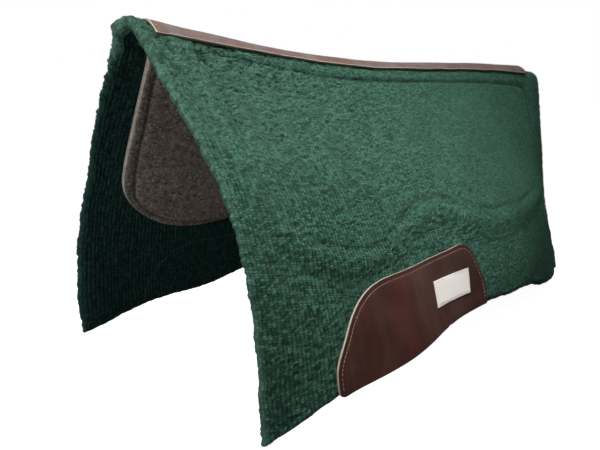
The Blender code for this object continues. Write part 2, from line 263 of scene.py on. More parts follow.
def label_rows(columns):
    a, b, c, d = (np.array(p) for p in LABEL_CORNERS)
    t = np.linspace(0, 1, columns + 1)[:, None]
    return a + (b - a) * t, d + (c - d) * t


def outline(top, bottom, between=12):
    k = np.arange(1, between)[:, None] / between
    return np.vstack([top, top[-1] + (bottom[-1] - top[-1]) * k, bottom[::-1], bottom[0] + (top[0] - bottom[0]) * k])


def metric(p):
    return np.asarray(p, float) * (LENGTH, 1.0)


def distance_to(path, u, s, closed=True):
    """Distance in metres over the cloth from each (u, s) to a polyline, and the length along it of the nearest point."""
    p = metric(path)
    if closed:
        p = np.vstack([p, p[:1]])
    a, d = p[:-1], np.diff(p, axis=0)
    ln2 = np.maximum((d**2).sum(1), 1e-12)
    run = np.concatenate([[0], np.cumsum(np.sqrt(ln2))])
    q = np.stack([np.ravel(u) * LENGTH, np.ravel(s)], 1)
    best, where = np.full(len(q), 1e9), np.zeros(len(q))
    for k in range(len(a)):
        w = q - a[k]
        t = np.clip((w @ d[k]) / ln2[k], 0, 1)
        e = np.hypot(w[:, 0] - t * d[k, 0], w[:, 1] - t * d[k, 1])
        m = e < best
        best[m] = e[m]
        where[m] = run[k] + t[m] * math.sqrt(ln2[k])
    return best.reshape(np.shape(u)), where.reshape(np.shape(u))


def inside(path, u, s):
    p = metric(path)
    x, y = np.ravel(u) * LENGTH, np.ravel(s)
    hit = np.zeros(len(x), bool)
    q = np.roll(p, -1, 0)
    for (x0, y0), (x1, y1) in zip(p, q):
        if y0 == y1:
            continue
        cross = ((y0 > y) != (y1 > y)) & (x < (x1 - x0) * (y - y0) / (y1 - y0) + x0)
        hit ^= cross
    return hit.reshape(np.shape(u))


def resample(path, count, closed=False):
    p = metric(path)
    if closed:
        p = np.vstack([p, p[:1]])
    t = np.concatenate([[0], np.cumsum(np.linalg.norm(np.diff(p, axis=0), axis=1))])
    w = np.linspace(0, t[-1], count + 1 if closed else count)
    out = np.stack([np.interp(w, t, p[:, 0]) / LENGTH, np.interp(w, t, p[:, 1])], 1)
    return out[:-1] if closed else out


def inset(path, distance, count=400):
    """A closed outline moved inwards, evenly resampled; it is smoothed a little so that its corners turn gently."""
    p = metric(resample(path, count, True))
    area = 0.5 * np.sum(p[:, 0] * np.roll(p[:, 1], -1) - np.roll(p[:, 0], -1) * p[:, 1])
    for _ in range(6):
        p = (np.roll(p, 1, 0) + 2 * p + np.roll(p, -1, 0)) / 4
    along = np.roll(p, -1, 0) - np.roll(p, 1, 0)
    along /= np.linalg.norm(along, axis=1)[:, None]
    q = p + np.stack([-along[:, 1], along[:, 0]], 1) * (distance if area > 0 else -distance)
    # points that the offset carried too near the outline belong to loops at tight corners
    keep = distance_to(path, q[:, 0] / LENGTH, q[:, 1])[0] > distance * 0.93
    q = q[keep]
    for _ in range(4):
        q = (np.roll(q, 1, 0) + 2 * q + np.roll(q, -1, 0)) / 4
    return resample(q / (LENGTH, 1.0), count, True)


# ---------------------------------------------------------------------------------------------------------------
# Meshes


def make_mesh(name, verts, quads, uv=None, attributes=None, slots=None):
    me = bpy.data.meshes.new(name)
    verts = np.asarray(verts, np.float32)
    quads = np.asarray(quads, np.int32)
    me.vertices.add(len(verts))
    me.vertices.foreach_set("co", verts.ravel())
    me.loops.add(quads.size)
    me.loops.foreach_set("vertex_index", quads.ravel())
    me.polygons.add(len(quads))
    me.polygons.foreach_set("loop_start", np.arange(0, quads.size, 4, dtype=np.int32))
    if slots is not None:
        me.polygons.foreach_set("material_index", np.asarray(slots, np.int32))
    me.update(calc_edges=True)
    if uv is not None:
        layer = me.uv_layers.new(name="cloth")
        layer.data.foreach_set("uv", np.asarray(uv, np.float32)[quads.ravel()].ravel())
    for key, values in (attributes or {}).items():
        me.attributes.new(key, "FLOAT", "POINT").data.foreach_set("value", np.asarray(values, np.float32).ravel())
    me.shade_smooth()
    obj = bpy.data.objects.new(name, me)
    bpy.context.scene.collection.objects.link(obj)
    return obj


def grid_quads(rows, cols, start=0, flip=False):
    i, j = np.meshgrid(np.arange(rows - 1), np.arange(cols - 1), indexing="ij")
    a = start + i * cols + j
    q = np.stack([a, a + 1, a + cols + 1, a + cols], -1).reshape(-1, 4)
    return q[:, ::-1] if flip else q


def border(rows, cols):
    """Indices of a grid's rim, in order round it."""
    g = np.arange(rows * cols).reshape(rows, cols)
    return np.concatenate([g[0, :], g[1:, -1], g[-1, -2::-1], g[-2:0:-1, 0]])


def slab(name, U, S, low, high, side, edge_rows=4, bulge=0.0, extra=None):
    """A closed sheet over the (rows, cols) grid U, S between the heights low and high, its cut edge as rows of its own.
    Slot 0 is the outer face, 1 the cut edge, 2 the inner face."""
    rows, cols = U.shape
    count = rows * cols
    low, high = np.broadcast_to(low, U.shape), np.broadcast_to(high, U.shape)
    top, bottom = place(U, S, high, side).reshape(-1, 3), place(U, S, low, side).reshape(-1, 3)
    ring = border(rows, cols)
    inner = np.roll(np.arange(len(ring)), 1), np.roll(np.arange(len(ring)), -1)
    um, sm = U.ravel()[ring] * LENGTH, S.ravel()[ring]
    along = np.stack([um[inner[1]] - um[inner[0]], sm[inner[1]] - sm[inner[0]]], 1)
    along /= np.maximum(np.linalg.norm(along, axis=1), 1e-9)[:, None]
    area = 0.5 * np.sum(um * np.roll(sm, -1) - np.roll(um, -1) * sm)
    out = np.stack([along[:, 1], -along[:, 0]], 1) * (1 if area > 0 else -1)
    verts, loops = [top, bottom], []
    lr, hr = low.ravel()[ring], high.ravel()[ring]
    start = 2 * count
    for k in range(1, edge_rows):
        t = k / edge_rows
        push = bulge * math.sin(math.pi * t)
        verts.append(place((um + out[:, 0] * push) / LENGTH, sm + out[:, 1] * push, hr + (lr - hr) * t, side))
        loops.append(np.arange(start, start + len(ring)))
        start += len(ring)
    loops = [ring] + loops + [ring + count]
    face = grid_quads(rows, cols)
    turn = side < 0
    quads = [face[:, ::-1] if not turn else face, (face if not turn else face[:, ::-1]) + count]
    slots = [np.zeros(len(face)), np.full(len(face), 2)]
    for a, b in zip(loops[:-1], loops[1:]):
        q = np.stack([a, np.roll(a, -1), np.roll(b, -1), b], -1)
        # the rim runs the same way round as the outer face's grid
        quads.append(q if not turn else q[:, ::-1])
        slots.append(np.full(len(q), 1))
    verts = np.vstack(verts)
    uv = np.zeros((len(verts), 2))
    uv[:count] = uv[count : 2 * count] = np.stack([U.ravel() * LENGTH, S.ravel()], 1)
    uv[2 * count :] = np.tile(np.stack([um, sm], 1), (max(edge_rows - 1, 0), 1))
    obj = make_mesh(name, verts, np.vstack(quads), uv, extra(len(verts), count, ring) if extra else None, np.concatenate(slots))
    return obj


def spread(top, bottom, rows, ends=0.0):
    """(rows, cols) grids of u and s between two edges; ends > 0 gathers the rows towards both edges."""
    b = np.linspace(0, 1, rows)
    b = b + ends * np.sin(2 * np.pi * b) / (-2 * np.pi)
    U = top[None, :, 0] + (bottom[None, :, 0] - top[None, :, 0]) * b[:, None]
    S = top[None, :, 1] + (bottom[None, :, 1] - top[None, :, 1]) * b[:, None]
    return U, S


def stitches(name, path, height, side, length, gap, radius, closed=True, sink=0.0006, arch=0.0, wander=0.0, seed=1, sides=7, rings=7):
    """A row of separate stitches laid along a (u, s) path. Each dips into its needle holes at both ends."""
    p = metric(path)
    if closed:
        p = np.vstack([p, p[:1]])
    t = np.concatenate([[0], np.cumsum(np.linalg.norm(np.diff(p, axis=0), axis=1))])
    pitch = length + gap
    count = max(1, int(round(t[-1] / pitch)))
    pitch = t[-1] / count
    length = pitch - gap
    rnd = np.random.RandomState(seed)
    k = np.arange(count)[:, None]
    w = np.linspace(0, 1, rings)[None, :]
    at = (k + 0.5) * pitch + (w - 0.5) * length * (1 + 0.05 * rnd.randn(count, 1))
    at = np.clip(at, 0, t[-1])
    um, sm = np.interp(at, t, p[:, 0]), np.interp(at, t, p[:, 1])
    du = np.interp(np.minimum(at + 1e-4, t[-1]), t, p[:, 0]) - np.interp(np.maximum(at - 1e-4, 0), t, p[:, 0])
    ds = np.interp(np.minimum(at + 1e-4, t[-1]), t, p[:, 1]) - np.interp(np.maximum(at - 1e-4, 0), t, p[:, 1])
    ln = np.maximum(np.hypot(du, ds), 1e-9)
    skew = wander * (w - 0.5) * 2
    um, sm = um - ds / ln * skew, sm + du / ln * skew
    h = height(um / LENGTH, sm) if callable(height) else np.full(um.shape, float(height))
    hump = np.sin(np.pi * np.clip(w, 0, 1)) ** 0.55
    sign = 1 if arch >= 0 else -1
    centre = place(um / LENGTH, sm, h + sign * (hump * (radius * 0.75 + sink) - sink), side)
    tangent = np.gradient(centre, axis=1)
    tangent /= np.linalg.norm(tangent, axis=-1, keepdims=True)
    up = outward(um / LENGTH, sm, side)
    left = np.cross(up, tangent)
    left /= np.linalg.norm(left, axis=-1, keepdims=True)
    up = np.cross(tangent, left)
    fat = radius * (0.72 + 0.28 * hump) * (1 + 0.06 * rnd.randn(count, 1))
    phi = np.arange(sides) / sides * 2 * math.pi
    ring = centre[:, :, None, :] + fat[:, :, None, None] * (np.cos(phi)[None, None, :, None] * left[:, :, None, :] + np.sin(phi)[None, None, :, None] * up[:, :, None, :])
    verts = ring.reshape(-1, 3)
    quads = []
    base = (np.arange(count) * rings * sides)[:, None, None]
    r, c = np.meshgrid(np.arange(rings - 1), np.arange(sides), indexing="ij")
    a = base + r * sides + c
    b = base + r * sides + (c + 1) % sides
    q = np.stack([a, b, b + sides, a + sides], -1).reshape(-1, 4)
    # each end closes on a point of its own
    tips = np.concatenate([centre[:, 0], centre[:, -1]])
    tip0 = len(verts) + np.arange(count)[:, None]
    tip1 = tip0 + count
    c = np.arange(0, sides, 2)
    verts = np.vstack([verts, tips])
    first = (np.arange(count) * rings * sides)[:, None]
    last = first + (rings - 1) * sides
    caps = []
    for j in range(0, sides):
        caps.append(np.stack([tip0[:, 0], first[:, 0] + (j + 1) % sides, first[:, 0] + j], -1))
        caps.append(np.stack([tip1[:, 0], last[:, 0] + j, last[:, 0] + (j + 1) % sides], -1))
    tris = np.vstack(caps)
    me = bpy.data.meshes.new(name)
    me.vertices.add(len(verts))
    me.vertices.foreach_set("co", verts.astype(np.float32).ravel())
    loops = np.concatenate([q.ravel(), tris.ravel()]).astype(np.int32)
    me.loops.add(len(loops))
    me.loops.foreach_set("vertex_index", loops)
    me.polygons.add(len(q) + len(tris))
    starts = np.concatenate([np.arange(len(q)) * 4, len(q) * 4 + np.arange(len(tris)) * 3]).astype(np.int32)
    me.polygons.foreach_set("loop_start", starts)
    me.update(calc_edges=True)
    me.attributes.new("along", "FLOAT", "POINT").data.foreach_set(
        "value", np.concatenate([np.repeat(at.ravel(), sides), at[:, 0], at[:, -1]]).astype(np.float32)
    )
    around = np.concatenate([np.tile(np.arange(sides) / sides, count * rings), np.zeros(2 * count)])
    me.attributes.new("around", "FLOAT", "POINT").data.foreach_set("value", around.astype(np.float32))
    me.shade_smooth()
    obj = bpy.data.objects.new(name, me)
    bpy.context.scene.collection.objects.link(obj)
    return obj


# ---------------------------------------------------------------------------------------------------------------
# Materials


class Nodes:
    """A short way to write a node tree."""

    def __init__(self, name):
        self.mat = bpy.data.materials.new(name)
        self.mat.use_nodes = True
        self.tree = self.mat.node_tree
        self.tree.nodes.clear()
        self.out = self.tree.nodes.new("ShaderNodeOutputMaterial")
        self.shader = self.tree.nodes.new("ShaderNodeBsdfPrincipled")
        self.tree.links.new(self.shader.outputs[0], self.out.inputs[0])

    def add(self, kind, inputs=None, **props):
        n = self.tree.nodes.new(kind)
        for k, v in props.items():
            setattr(n, k, v)
        for k, v in (inputs or {}).items():
            self.set(n.inputs[k], v)
        return n

    def set(self, socket, v):
        if hasattr(v, "is_output"):
            self.tree.links.new(v, socket)
        else:
            socket.default_value = v

    def math(self, op, a, b=0.0, clamp=False):
        return self.add("ShaderNodeMath", {0: a, 1: b}, operation=op, use_clamp=clamp).outputs[0]

    def attribute(self, name):
        return self.add("ShaderNodeAttribute", attribute_name=name).outputs["Fac"]

    def cloth(self, scale):
        uv = self.add("ShaderNodeUVMap", uv_map="cloth").outputs[0]
        return self.add("ShaderNodeMapping", {0: uv, "Scale": scale}).outputs[0]

    def noise(self, vector, scale=1.0, detail=3.0, rough=0.55, distortion=0.0):
        return self.add(
            "ShaderNodeTexNoise", {"Vector": vector, "Scale": scale, "Detail": detail, "Roughness": rough, "Distortion": distortion}
        ).outputs["Fac"]

    def ramp(self, value, stops):
        n = self.add("ShaderNodeValToRGB", {0: value})
        while len(n.color_ramp.elements) < len(stops):
            n.color_ramp.elements.new(0.5)
        for e, (p, c) in zip(n.color_ramp.elements, stops):
            e.position = p
            e.color = (*c, 1) if len(c) == 3 else c
        return n.outputs[0]

    def mix(self, fac, a, b, mode="MIX"):
        n = self.add("ShaderNodeMix", data_type="RGBA", blend_type=mode)
        self.set(n.inputs[0], fac)
        self.set(n.inputs[6], a if hasattr(a, "is_output") else (*a, 1))
        self.set(n.inputs[7], b if hasattr(b, "is_output") else (*b, 1))
        return n.outputs[2]

    def bump(self, height, strength, distance, normal=None):
        ins = {"Height": height, "Strength": strength, "Distance": distance}
        if normal is not None:
            ins["Normal"] = normal
        return self.add("ShaderNodeBump", ins).outputs[0]

    def object_coords(self):
        return self.add("ShaderNodeTexCoord").outputs["Object"]


def wool_material(name, light, dark, gap, fleck, sheen):
    m = Nodes(name)
    pile, groove = m.attribute("pile"), m.attribute("groove")
    lattice = m.add("ShaderNodeSeparateXYZ", {0: m.add("ShaderNodeUVMap", uv_map="lattice").outputs[0]})
    # each float of the weft: a small loaf between two gaps of the warp, stepped by half from rib to rib
    wobble = m.noise(m.cloth((210, 330, 1)), 1.0, 3, 0.6)
    ribs = m.math("ADD", lattice.outputs[0], m.math("MULTIPLY", m.math("SUBTRACT", wobble, 0.5), 0.75))
    wefts = m.math("ADD", lattice.outputs[1], m.math("MULTIPLY", m.math("SUBTRACT", m.noise(m.cloth((170, 240, 1)), 1.3, 3, 0.6), 0.5), 1.15))
    rib = m.add("ShaderNodeMath", {0: ribs}, operation="FLOOR").outputs[0]
    step = m.math("MULTIPLY", m.math("MODULO", rib, 2.0), 0.5)
    rows = m.math("ADD", wefts, step)
    row = m.add("ShaderNodeMath", {0: rows}, operation="FLOOR").outputs[0]
    fx = m.add("ShaderNodeMath", {0: m.math("MULTIPLY", m.add("ShaderNodeMath", {0: ribs}, operation="FRACT").outputs[0], math.pi)}, operation="SINE").outputs[0]
    fy = m.add("ShaderNodeMath", {0: m.math("MULTIPLY", m.add("ShaderNodeMath", {0: rows}, operation="FRACT").outputs[0], math.pi)}, operation="SINE").outputs[0]
    loaf = m.math("MULTIPLY", m.math("POWER", fx, 0.55), m.math("POWER", fy, 0.5))
    cell = m.add("ShaderNodeTexWhiteNoise", {"Vector": m.add("ShaderNodeCombineXYZ", {0: rib, 1: row}).outputs[0]}, noise_dimensions="2D").outputs[0]
    fibre = m.noise(m.cloth((520, 1900, 1)), 1.0, 5, 0.72, 1.0)
    tuft = m.noise(m.cloth((150, 225, 1)), 1.0, 3, 0.62, 2.4)
    lock = m.noise(m.cloth((370, 500, 1)), 1.0, 3, 0.6, 2.0)
    curl = m.noise(m.cloth((640, 760, 1)), 1.0, 4, 0.7, 2.4)
    heather = m.noise(m.cloth((17, 22, 1)), 1.0, 4, 0.6)
    # height of the surface: weave where it shows, tufts where it is brushed
    woven = m.math("MULTIPLY", loaf, m.math("ADD", 0.55, m.math("MULTIPLY", cell, 0.75)))
    woven = m.math("MULTIPLY", woven, m.math("ADD", 0.50, m.math("MULTIPLY", m.ramp(lock, [(0.36, (0, 0, 0)), (0.62, (1, 1, 1))]), 0.75)))
    furry = m.math("ADD", m.math("MULTIPLY", m.ramp(tuft, [(0.40, (0, 0, 0)), (0.60, (1, 1, 1))]), 0.50), m.math("MULTIPLY", m.ramp(lock, [(0.38, (0, 0, 0)), (0.62, (1, 1, 1))]), 0.45))
    furry = m.math("ADD", m.math("ADD", furry, 0.03), m.math("MULTIPLY", m.math("SUBTRACT", fibre, 0.5), 0.35), True)
    mixed = m.add("ShaderNodeMix", {0: pile, 2: woven, 3: furry}).outputs[0]
    tone = m.math("ADD", m.math("MULTIPLY", mixed, 0.95), m.math("MULTIPLY", m.math("SUBTRACT", cell, 0.5), 0.30), True)
    # the low parts of the weave and pile take the dark gap colour: painted shade in the hollows between yarns and tufts
    base = m.mix(m.ramp(tone, [(0.16, (0, 0, 0)), (0.42, (0.36, 0.36, 0.36)), (0.86, (1, 1, 1))]), gap, light)
    base = m.mix(m.math("MULTIPLY", m.ramp(heather, [(0.36, (0, 0, 0)), (0.66, (1, 1, 1))]), 0.25), base, dark)
    base = m.mix(m.math("MULTIPLY", m.ramp(curl, [(0.60, (0, 0, 0)), (0.76, (1, 1, 1))]), m.math("ADD", 0.30, m.math("MULTIPLY", pile, 0.4))), base, fleck)
    # dark pits in the pile, in the gap colour: painted shade
    base = m.mix(m.math("MULTIPLY", m.ramp(curl, [(0.26, (1, 1, 1)), (0.40, (0, 0, 0))]), 0.65), base, gap)
    hair = m.noise(m.cloth((70, 120, 1)), 1.0, 2, 0.5, 1.0)
    hair = m.ramp(hair, [(0.482, (0, 0, 0)), (0.500, (1, 1, 1)), (0.518, (0, 0, 0))])
    base = m.mix(m.math("MULTIPLY", hair, m.math("ADD", 0.10, m.math("MULTIPLY", pile, 0.30))), base, fleck)
    coil = m.ramp(m.noise(m.cloth((170, 235, 1)), 1.0, 3, 0.6, 2.6), [(0.455, (0, 0, 0)), (0.500, (1, 1, 1)), (0.545, (0, 0, 0))])
    base = m.mix(m.math("MULTIPLY", coil, m.math("MULTIPLY", pile, 0.50)), base, fleck)
    even = tuple(k * (0.44 * a + 0.56 * b) for a, b, k in zip(light, gap, (0.90, 1.0, 0.95)))
    base = m.mix(m.math("MULTIPLY", m.attribute("still"), 0.42), base, even)
    # lighter flecks along the cut edges: partly the fuzz's own lighter fibres, partly a painted highlight where the
    # edges catch the light
    base = m.mix(m.math("MULTIPLY", m.attribute("rim"), m.math("MULTIPLY", curl, 0.34)), base, fleck)
    # painted shade: the groove attribute darkens the wool towards the gap colour along the felt seam, in the creases
    # between locks, in a band along the top seam below the spine strip and over the foot towards the rear
    base = m.mix(m.math("MULTIPLY", groove, 0.60, True), base, gap)
    m.set(m.shader.inputs["Base Color"], base)
    m.set(m.shader.inputs["Roughness"], 0.95)
    m.set(m.shader.inputs["Specular IOR Level"], 0.10)
    m.set(m.shader.inputs["Sheen Weight"], sheen)
    m.set(m.shader.inputs["Sheen Roughness"], 0.5)
    m.set(m.shader.inputs["Sheen Tint"], (0.55, 0.85, 0.72, 1))
    n = m.bump(mixed, 1.0, 0.0026)
    n = m.bump(curl, 0.7, 0.0010, n)
    m.set(m.shader.inputs["Normal"], n)
    return m.mat


def felt_material(name, mid, light, dark):
    m = Nodes(name)
    c = m.object_coords()
    fibre = m.noise(m.add("ShaderNodeMapping", {0: c, "Scale": (230, 230, 330)}).outputs[0], 1.0, 4, 0.7, 2.8)
    clump = m.noise(c, 190.0, 4, 0.7, 0.8)
    wide = m.noise(c, 34.0, 4, 0.6)
    patch = m.noise(c, 105.0, 3, 0.6, 0.6)
    base = m.mix(m.ramp(clump, [(0.41, (0, 0, 0)), (0.60, (1, 1, 1))]), dark, mid)
    base = m.mix(m.math("MULTIPLY", m.ramp(fibre, [(0.54, (0, 0, 0)), (0.66, (1, 1, 1))]), 0.70), base, light)
    base = m.mix(m.math("MULTIPLY", m.ramp(fibre, [(0.26, (1, 1, 1)), (0.42, (0, 0, 0))]), 0.7), base, tuple(x * 0.45 for x in dark))
    base = m.mix(m.math("MULTIPLY", m.ramp(wide, [(0.4, (0, 0, 0)), (0.65, (1, 1, 1))]), 0.30), base, (mid[0] * 1.25, mid[1] * 0.95, mid[2] * 0.80))
    base = m.mix(m.math("MULTIPLY", m.ramp(patch, [(0.44, (0, 0, 0)), (0.62, (1, 1, 1))]), 0.38), base, tuple(x * 0.55 for x in dark))
    base = m.mix(m.math("MULTIPLY", m.ramp(patch, [(0.30, (1, 1, 1)), (0.44, (0, 0, 0))]), 0.40), base, tuple(x * 1.35 for x in mid))
    for scale, share in ((95.0, 0.70), (150.0, 0.50)):
        hair = m.ramp(m.noise(c, scale, 2, 0.5, 1.2), [(0.484, (0, 0, 0)), (0.500, (1, 1, 1)), (0.516, (0, 0, 0))])
        base = m.mix(m.math("MULTIPLY", hair, share), base, light)
    m.set(m.shader.inputs["Base Color"], base)
    m.set(m.shader.inputs["Roughness"], 0.97)
    m.set(m.shader.inputs["Specular IOR Level"], 0.1)
    m.set(m.shader.inputs["Sheen Weight"], 0.08)
    n = m.bump(fibre, 0.8, 0.0010)
    n = m.bump(clump, 0.7, 0.0016, n)
    m.set(m.shader.inputs["Normal"], n)
    return m.mat


def leather_material(name, light, dark, rough=(0.36, 0.58), rim=None):
    m = Nodes(name)
    c = m.object_coords()
    cells = m.add("ShaderNodeTexVoronoi", {"Vector": c, "Scale": 1150.0, "Randomness": 1.0}, feature="DISTANCE_TO_EDGE").outputs[0]
    pores = m.noise(c, 2600.0, 3, 0.6)
    mottle = m.noise(c, 26.0, 5, 0.62, 0.3)
    # broad streaks down the panel, redder and greyer by turns: the grey streaks are a painted reflection of the soft
    # light on the bent leather
    streak = m.noise(m.cloth((34, 4.5, 1)), 1.0, 4, 0.55, 0.35)
    fine = m.noise(m.cloth((170, 14, 1)), 1.0, 3, 0.6, 0.2)
    base = m.mix(m.math("MULTIPLY", m.ramp(mottle, [(0.32, (0, 0, 0)), (0.68, (1, 1, 1))]), 0.6), dark, light)
    painted_sheen_grey, red = (light[0] * 0.92, light[1] * 1.42, light[2] * 1.60), (light[0] * 1.02, light[1] * 0.62, light[2] * 0.58)
    base = m.mix(m.math("MULTIPLY", m.ramp(streak, [(0.50, (0, 0, 0)), (0.62, (1, 1, 1))]), 0.50), base, painted_sheen_grey)
    base = m.mix(m.math("MULTIPLY", m.ramp(streak, [(0.36, (1, 1, 1)), (0.48, (0, 0, 0))]), 0.50), base, red)
    base = m.mix(m.math("MULTIPLY", m.ramp(fine, [(0.45, (0, 0, 0)), (0.65, (1, 1, 1))]), 0.22), base, tuple(x * 0.55 for x in dark))
    if rim is None:
        # painted shade: the colour darkens towards the panel's rear end, where less light falls
        run = m.add("ShaderNodeSeparateXYZ", {0: m.cloth((1, 1, 1))}).outputs[0]
        base = m.mix(m.ramp(run, [(0.25, (0, 0, 0)), (0.35, (0.62, 0.62, 0.62))]), base, tuple(x * 0.50 for x in dark))
    crease = m.ramp(cells, [(0.0, (0, 0, 0)), (0.09, (1, 1, 1))])
    base = m.mix(m.math("MULTIPLY", m.math("SUBTRACT", 1.0, crease), 0.3), base, tuple(x * 0.45 for x in dark))
    worn = m.attribute("worn")
    base = m.mix(m.math("MULTIPLY", worn, 0.55 if rim is None else 0.2), base, tuple(x * 0.60 for x in dark))
    # on the spine strip a light line is painted along the rim of the top face: partly the burnished edge's own colour,
    # partly a painted highlight standing in for the lit cut edge
    if rim is not None:
        base = m.mix(m.ramp(worn, [(0.74, (0, 0, 0)), (0.84, (0.8, 0.8, 0.8))]), base, rim)
    m.set(m.shader.inputs["Base Color"], base)
    r = m.math("ADD", m.math("MULTIPLY", m.ramp(mottle, [(0.3, (0, 0, 0)), (0.7, (1, 1, 1))]), rough[1] - rough[0]), rough[0])
    m.set(m.shader.inputs["Roughness"], r)
    m.set(m.shader.inputs["Specular IOR Level"], 0.5)
    n = m.bump(crease, 0.22, 0.00025)
    n = m.bump(pores, 0.12, 0.0002, n)
    n = m.bump(mottle, 0.12, 0.0012, n)
    m.set(m.shader.inputs["Normal"], n)
    return m.mat


def edge_material(name, light, dark):
    m = Nodes(name)
    c = m.object_coords()
    fibres = m.noise(m.add("ShaderNodeMapping", {0: c, "Scale": (500, 500, 2400)}).outputs[0], 1.0, 4, 0.6)
    wide = m.noise(c, 60.0, 3, 0.5)
    base = m.mix(m.ramp(fibres, [(0.35, (0, 0, 0)), (0.7, (1, 1, 1))]), dark, light)
    base = m.mix(m.math("MULTIPLY", wide, 0.5), base, dark)
    m.set(m.shader.inputs["Base Color"], base)
    m.set(m.shader.inputs["Roughness"], 0.8)
    m.set(m.shader.inputs["Normal"], m.bump(fibres, 0.4, 0.0003))
    return m.mat


def thread_material(name, light, dark):
    m = Nodes(name)
    twist = m.math("ADD", m.math("MULTIPLY", m.attribute("along"), 2200.0), m.math("MULTIPLY", m.attribute("around"), 6.2832))
    ply = m.math("MULTIPLY", m.math("ADD", m.add("ShaderNodeMath", {0: twist}, operation="SINE").outputs[0], 1.0), 0.5)
    fuzz = m.noise(m.object_coords(), 3000.0, 3, 0.6)
    base = m.mix(ply, dark, light)
    base = m.mix(m.math("MULTIPLY", fuzz, 0.5), base, tuple(x * 0.75 for x in light))
    m.set(m.shader.inputs["Base Color"], base)
    m.set(m.shader.inputs["Roughness"], 0.6)
    m.set(m.shader.inputs["Normal"], m.bump(ply, 0.6, 0.0003))
    return m.mat


def label_material(name, light, dark):
    m = Nodes(name)
    uv = m.cloth((1, 1, 1))
    xy = m.add("ShaderNodeSeparateXYZ", {0: uv})
    warp = m.add("ShaderNodeMath", {0: m.math("MULTIPLY", xy.outputs[0], 12500.0)}, operation="SINE").outputs[0]
    weft = m.add("ShaderNodeMath", {0: m.math("MULTIPLY", xy.outputs[1], 12500.0)}, operation="SINE").outputs[0]
    cloth = m.math("MULTIPLY", m.math("ADD", m.math("MULTIPLY", warp, weft), 1.0), 0.5)
    soil = m.noise(m.object_coords(), 90.0, 4, 0.6)
    edge = m.attribute("edge")
    base = m.mix(cloth, dark, light)
    base = m.mix(m.math("MULTIPLY", soil, 0.35), base, tuple(x * 0.86 for x in light))
    # painted shade: a darker band just inside the label's edge, where it turns down
    base = m.mix(m.math("MULTIPLY", edge, 0.55), base, dark)
    m.set(m.shader.inputs["Base Color"], base)
    m.set(m.shader.inputs["Roughness"], 0.75)
    m.set(m.shader.inputs["Sheen Weight"], 0.15)
    m.set(m.shader.inputs["Normal"], m.bump(cloth, 0.35, 0.0002))
    return m.mat


WOOL_OUT = wool_material("wool_outer", (0.100, 0.268, 0.184), (0.030, 0.090, 0.062), (0.0056, 0.025, 0.0175), (0.205, 0.375, 0.288), 0.05)
# the inner face takes a darker copy of the same wool: painted shade for the shade under the arch
WOOL_INNER_SHADED = wool_material("wool_inner_painted_shade", (0.028, 0.094, 0.078), (0.014, 0.050, 0.042), (0.0025, 0.011, 0.0095), (0.056, 0.135, 0.113), 0.02)
FELT = felt_material("felt_face", (0.178, 0.147, 0.126), (0.56, 0.50, 0.45), (0.046, 0.037, 0.031))
# the cut edge takes a lighter copy of the felt's colours: painted light, for the edge facing the front lamps
FELT_CUT_LIT = felt_material("felt_cut_edge_painted_light", (0.36, 0.325, 0.295), (0.52, 0.48, 0.44), (0.24, 0.215, 0.19))
LEATHER = leather_material("leather_face", (0.078, 0.027, 0.0180), (0.040, 0.0128, 0.0088))
SPINE_LEATHER = leather_material("spine_leather_face", (0.150, 0.098, 0.084), (0.092, 0.056, 0.047), (0.42, 0.62), (0.50, 0.42, 0.33))
SPINE_EDGE = edge_material("spine_cut_edge", (0.26, 0.20, 0.15), (0.15, 0.11, 0.08))
LEATHER_EDGE = edge_material("leather_cut_edge", (0.52, 0.46, 0.38), (0.34, 0.28, 0.21))
LEATHER_BACK = edge_material("leather_flesh_side", (0.30, 0.21, 0.15), (0.20, 0.13, 0.09))
TAN = thread_material("tan_thread", (0.36, 0.235, 0.145), (0.19, 0.115, 0.065))
BROWN = thread_material("thread_brown", (0.060, 0.045, 0.036), (0.022, 0.016, 0.012))
GREEN = thread_material("thread_green", (0.040, 0.110, 0.080), (0.014, 0.045, 0.032))
CREAM = thread_material("thread_cream", (0.80, 0.78, 0.72), (0.55, 0.53, 0.48))
LABEL = label_material("label_weave", (0.82, 0.77, 0.73), (0.60, 0.56, 0.52))

# ---------------------------------------------------------------------------------------------------------------
# Seams, as (u, s) paths on the cloth

SEAM_LEFT = (
    (0.0960, 0.0395), (0.30, 0.0400), (0.50, 0.0395), (0.70, 0.0385), (0.900, 0.0385), (0.921, 0.0420), (0.930, 0.0560), (0.931, 0.090), (0.926, 0.140),
    (0.920, 0.168), (0.909, 0.187), (0.890, 0.197), (0.850, 0.2105), (0.8039, 0.2217), (0.7500, 0.2365), (0.6915, 0.2474), (0.6124, 0.2552), (0.5493, 0.2562),
    (0.4887, 0.2478), (0.4425, 0.2350), (0.4069, 0.2333), (0.3542, 0.2484), (0.2936, 0.2764), (0.2517, 0.2913), (0.2154, 0.2968), (0.1649, 0.2978),
    (0.1215, 0.2918), (0.0915, 0.2810), (0.0760, 0.2660), (0.0695, 0.2450), (0.0710, 0.2200), (0.0790, 0.1780), (0.0880, 0.1380), (0.0930, 0.1020), (0.0900, 0.0620), (0.0890, 0.0460),
)
SEAM_RIGHT = SEAM_LEFT[:26] + (
    (0.1211, 0.2885), (0.0943, 0.2720), (0.0845, 0.2438), (0.0785, 0.2016), (0.0748, 0.1594), (0.0712, 0.1249), (0.0660, 0.0879), (0.0640, 0.0600), (0.0680, 0.0450),
)


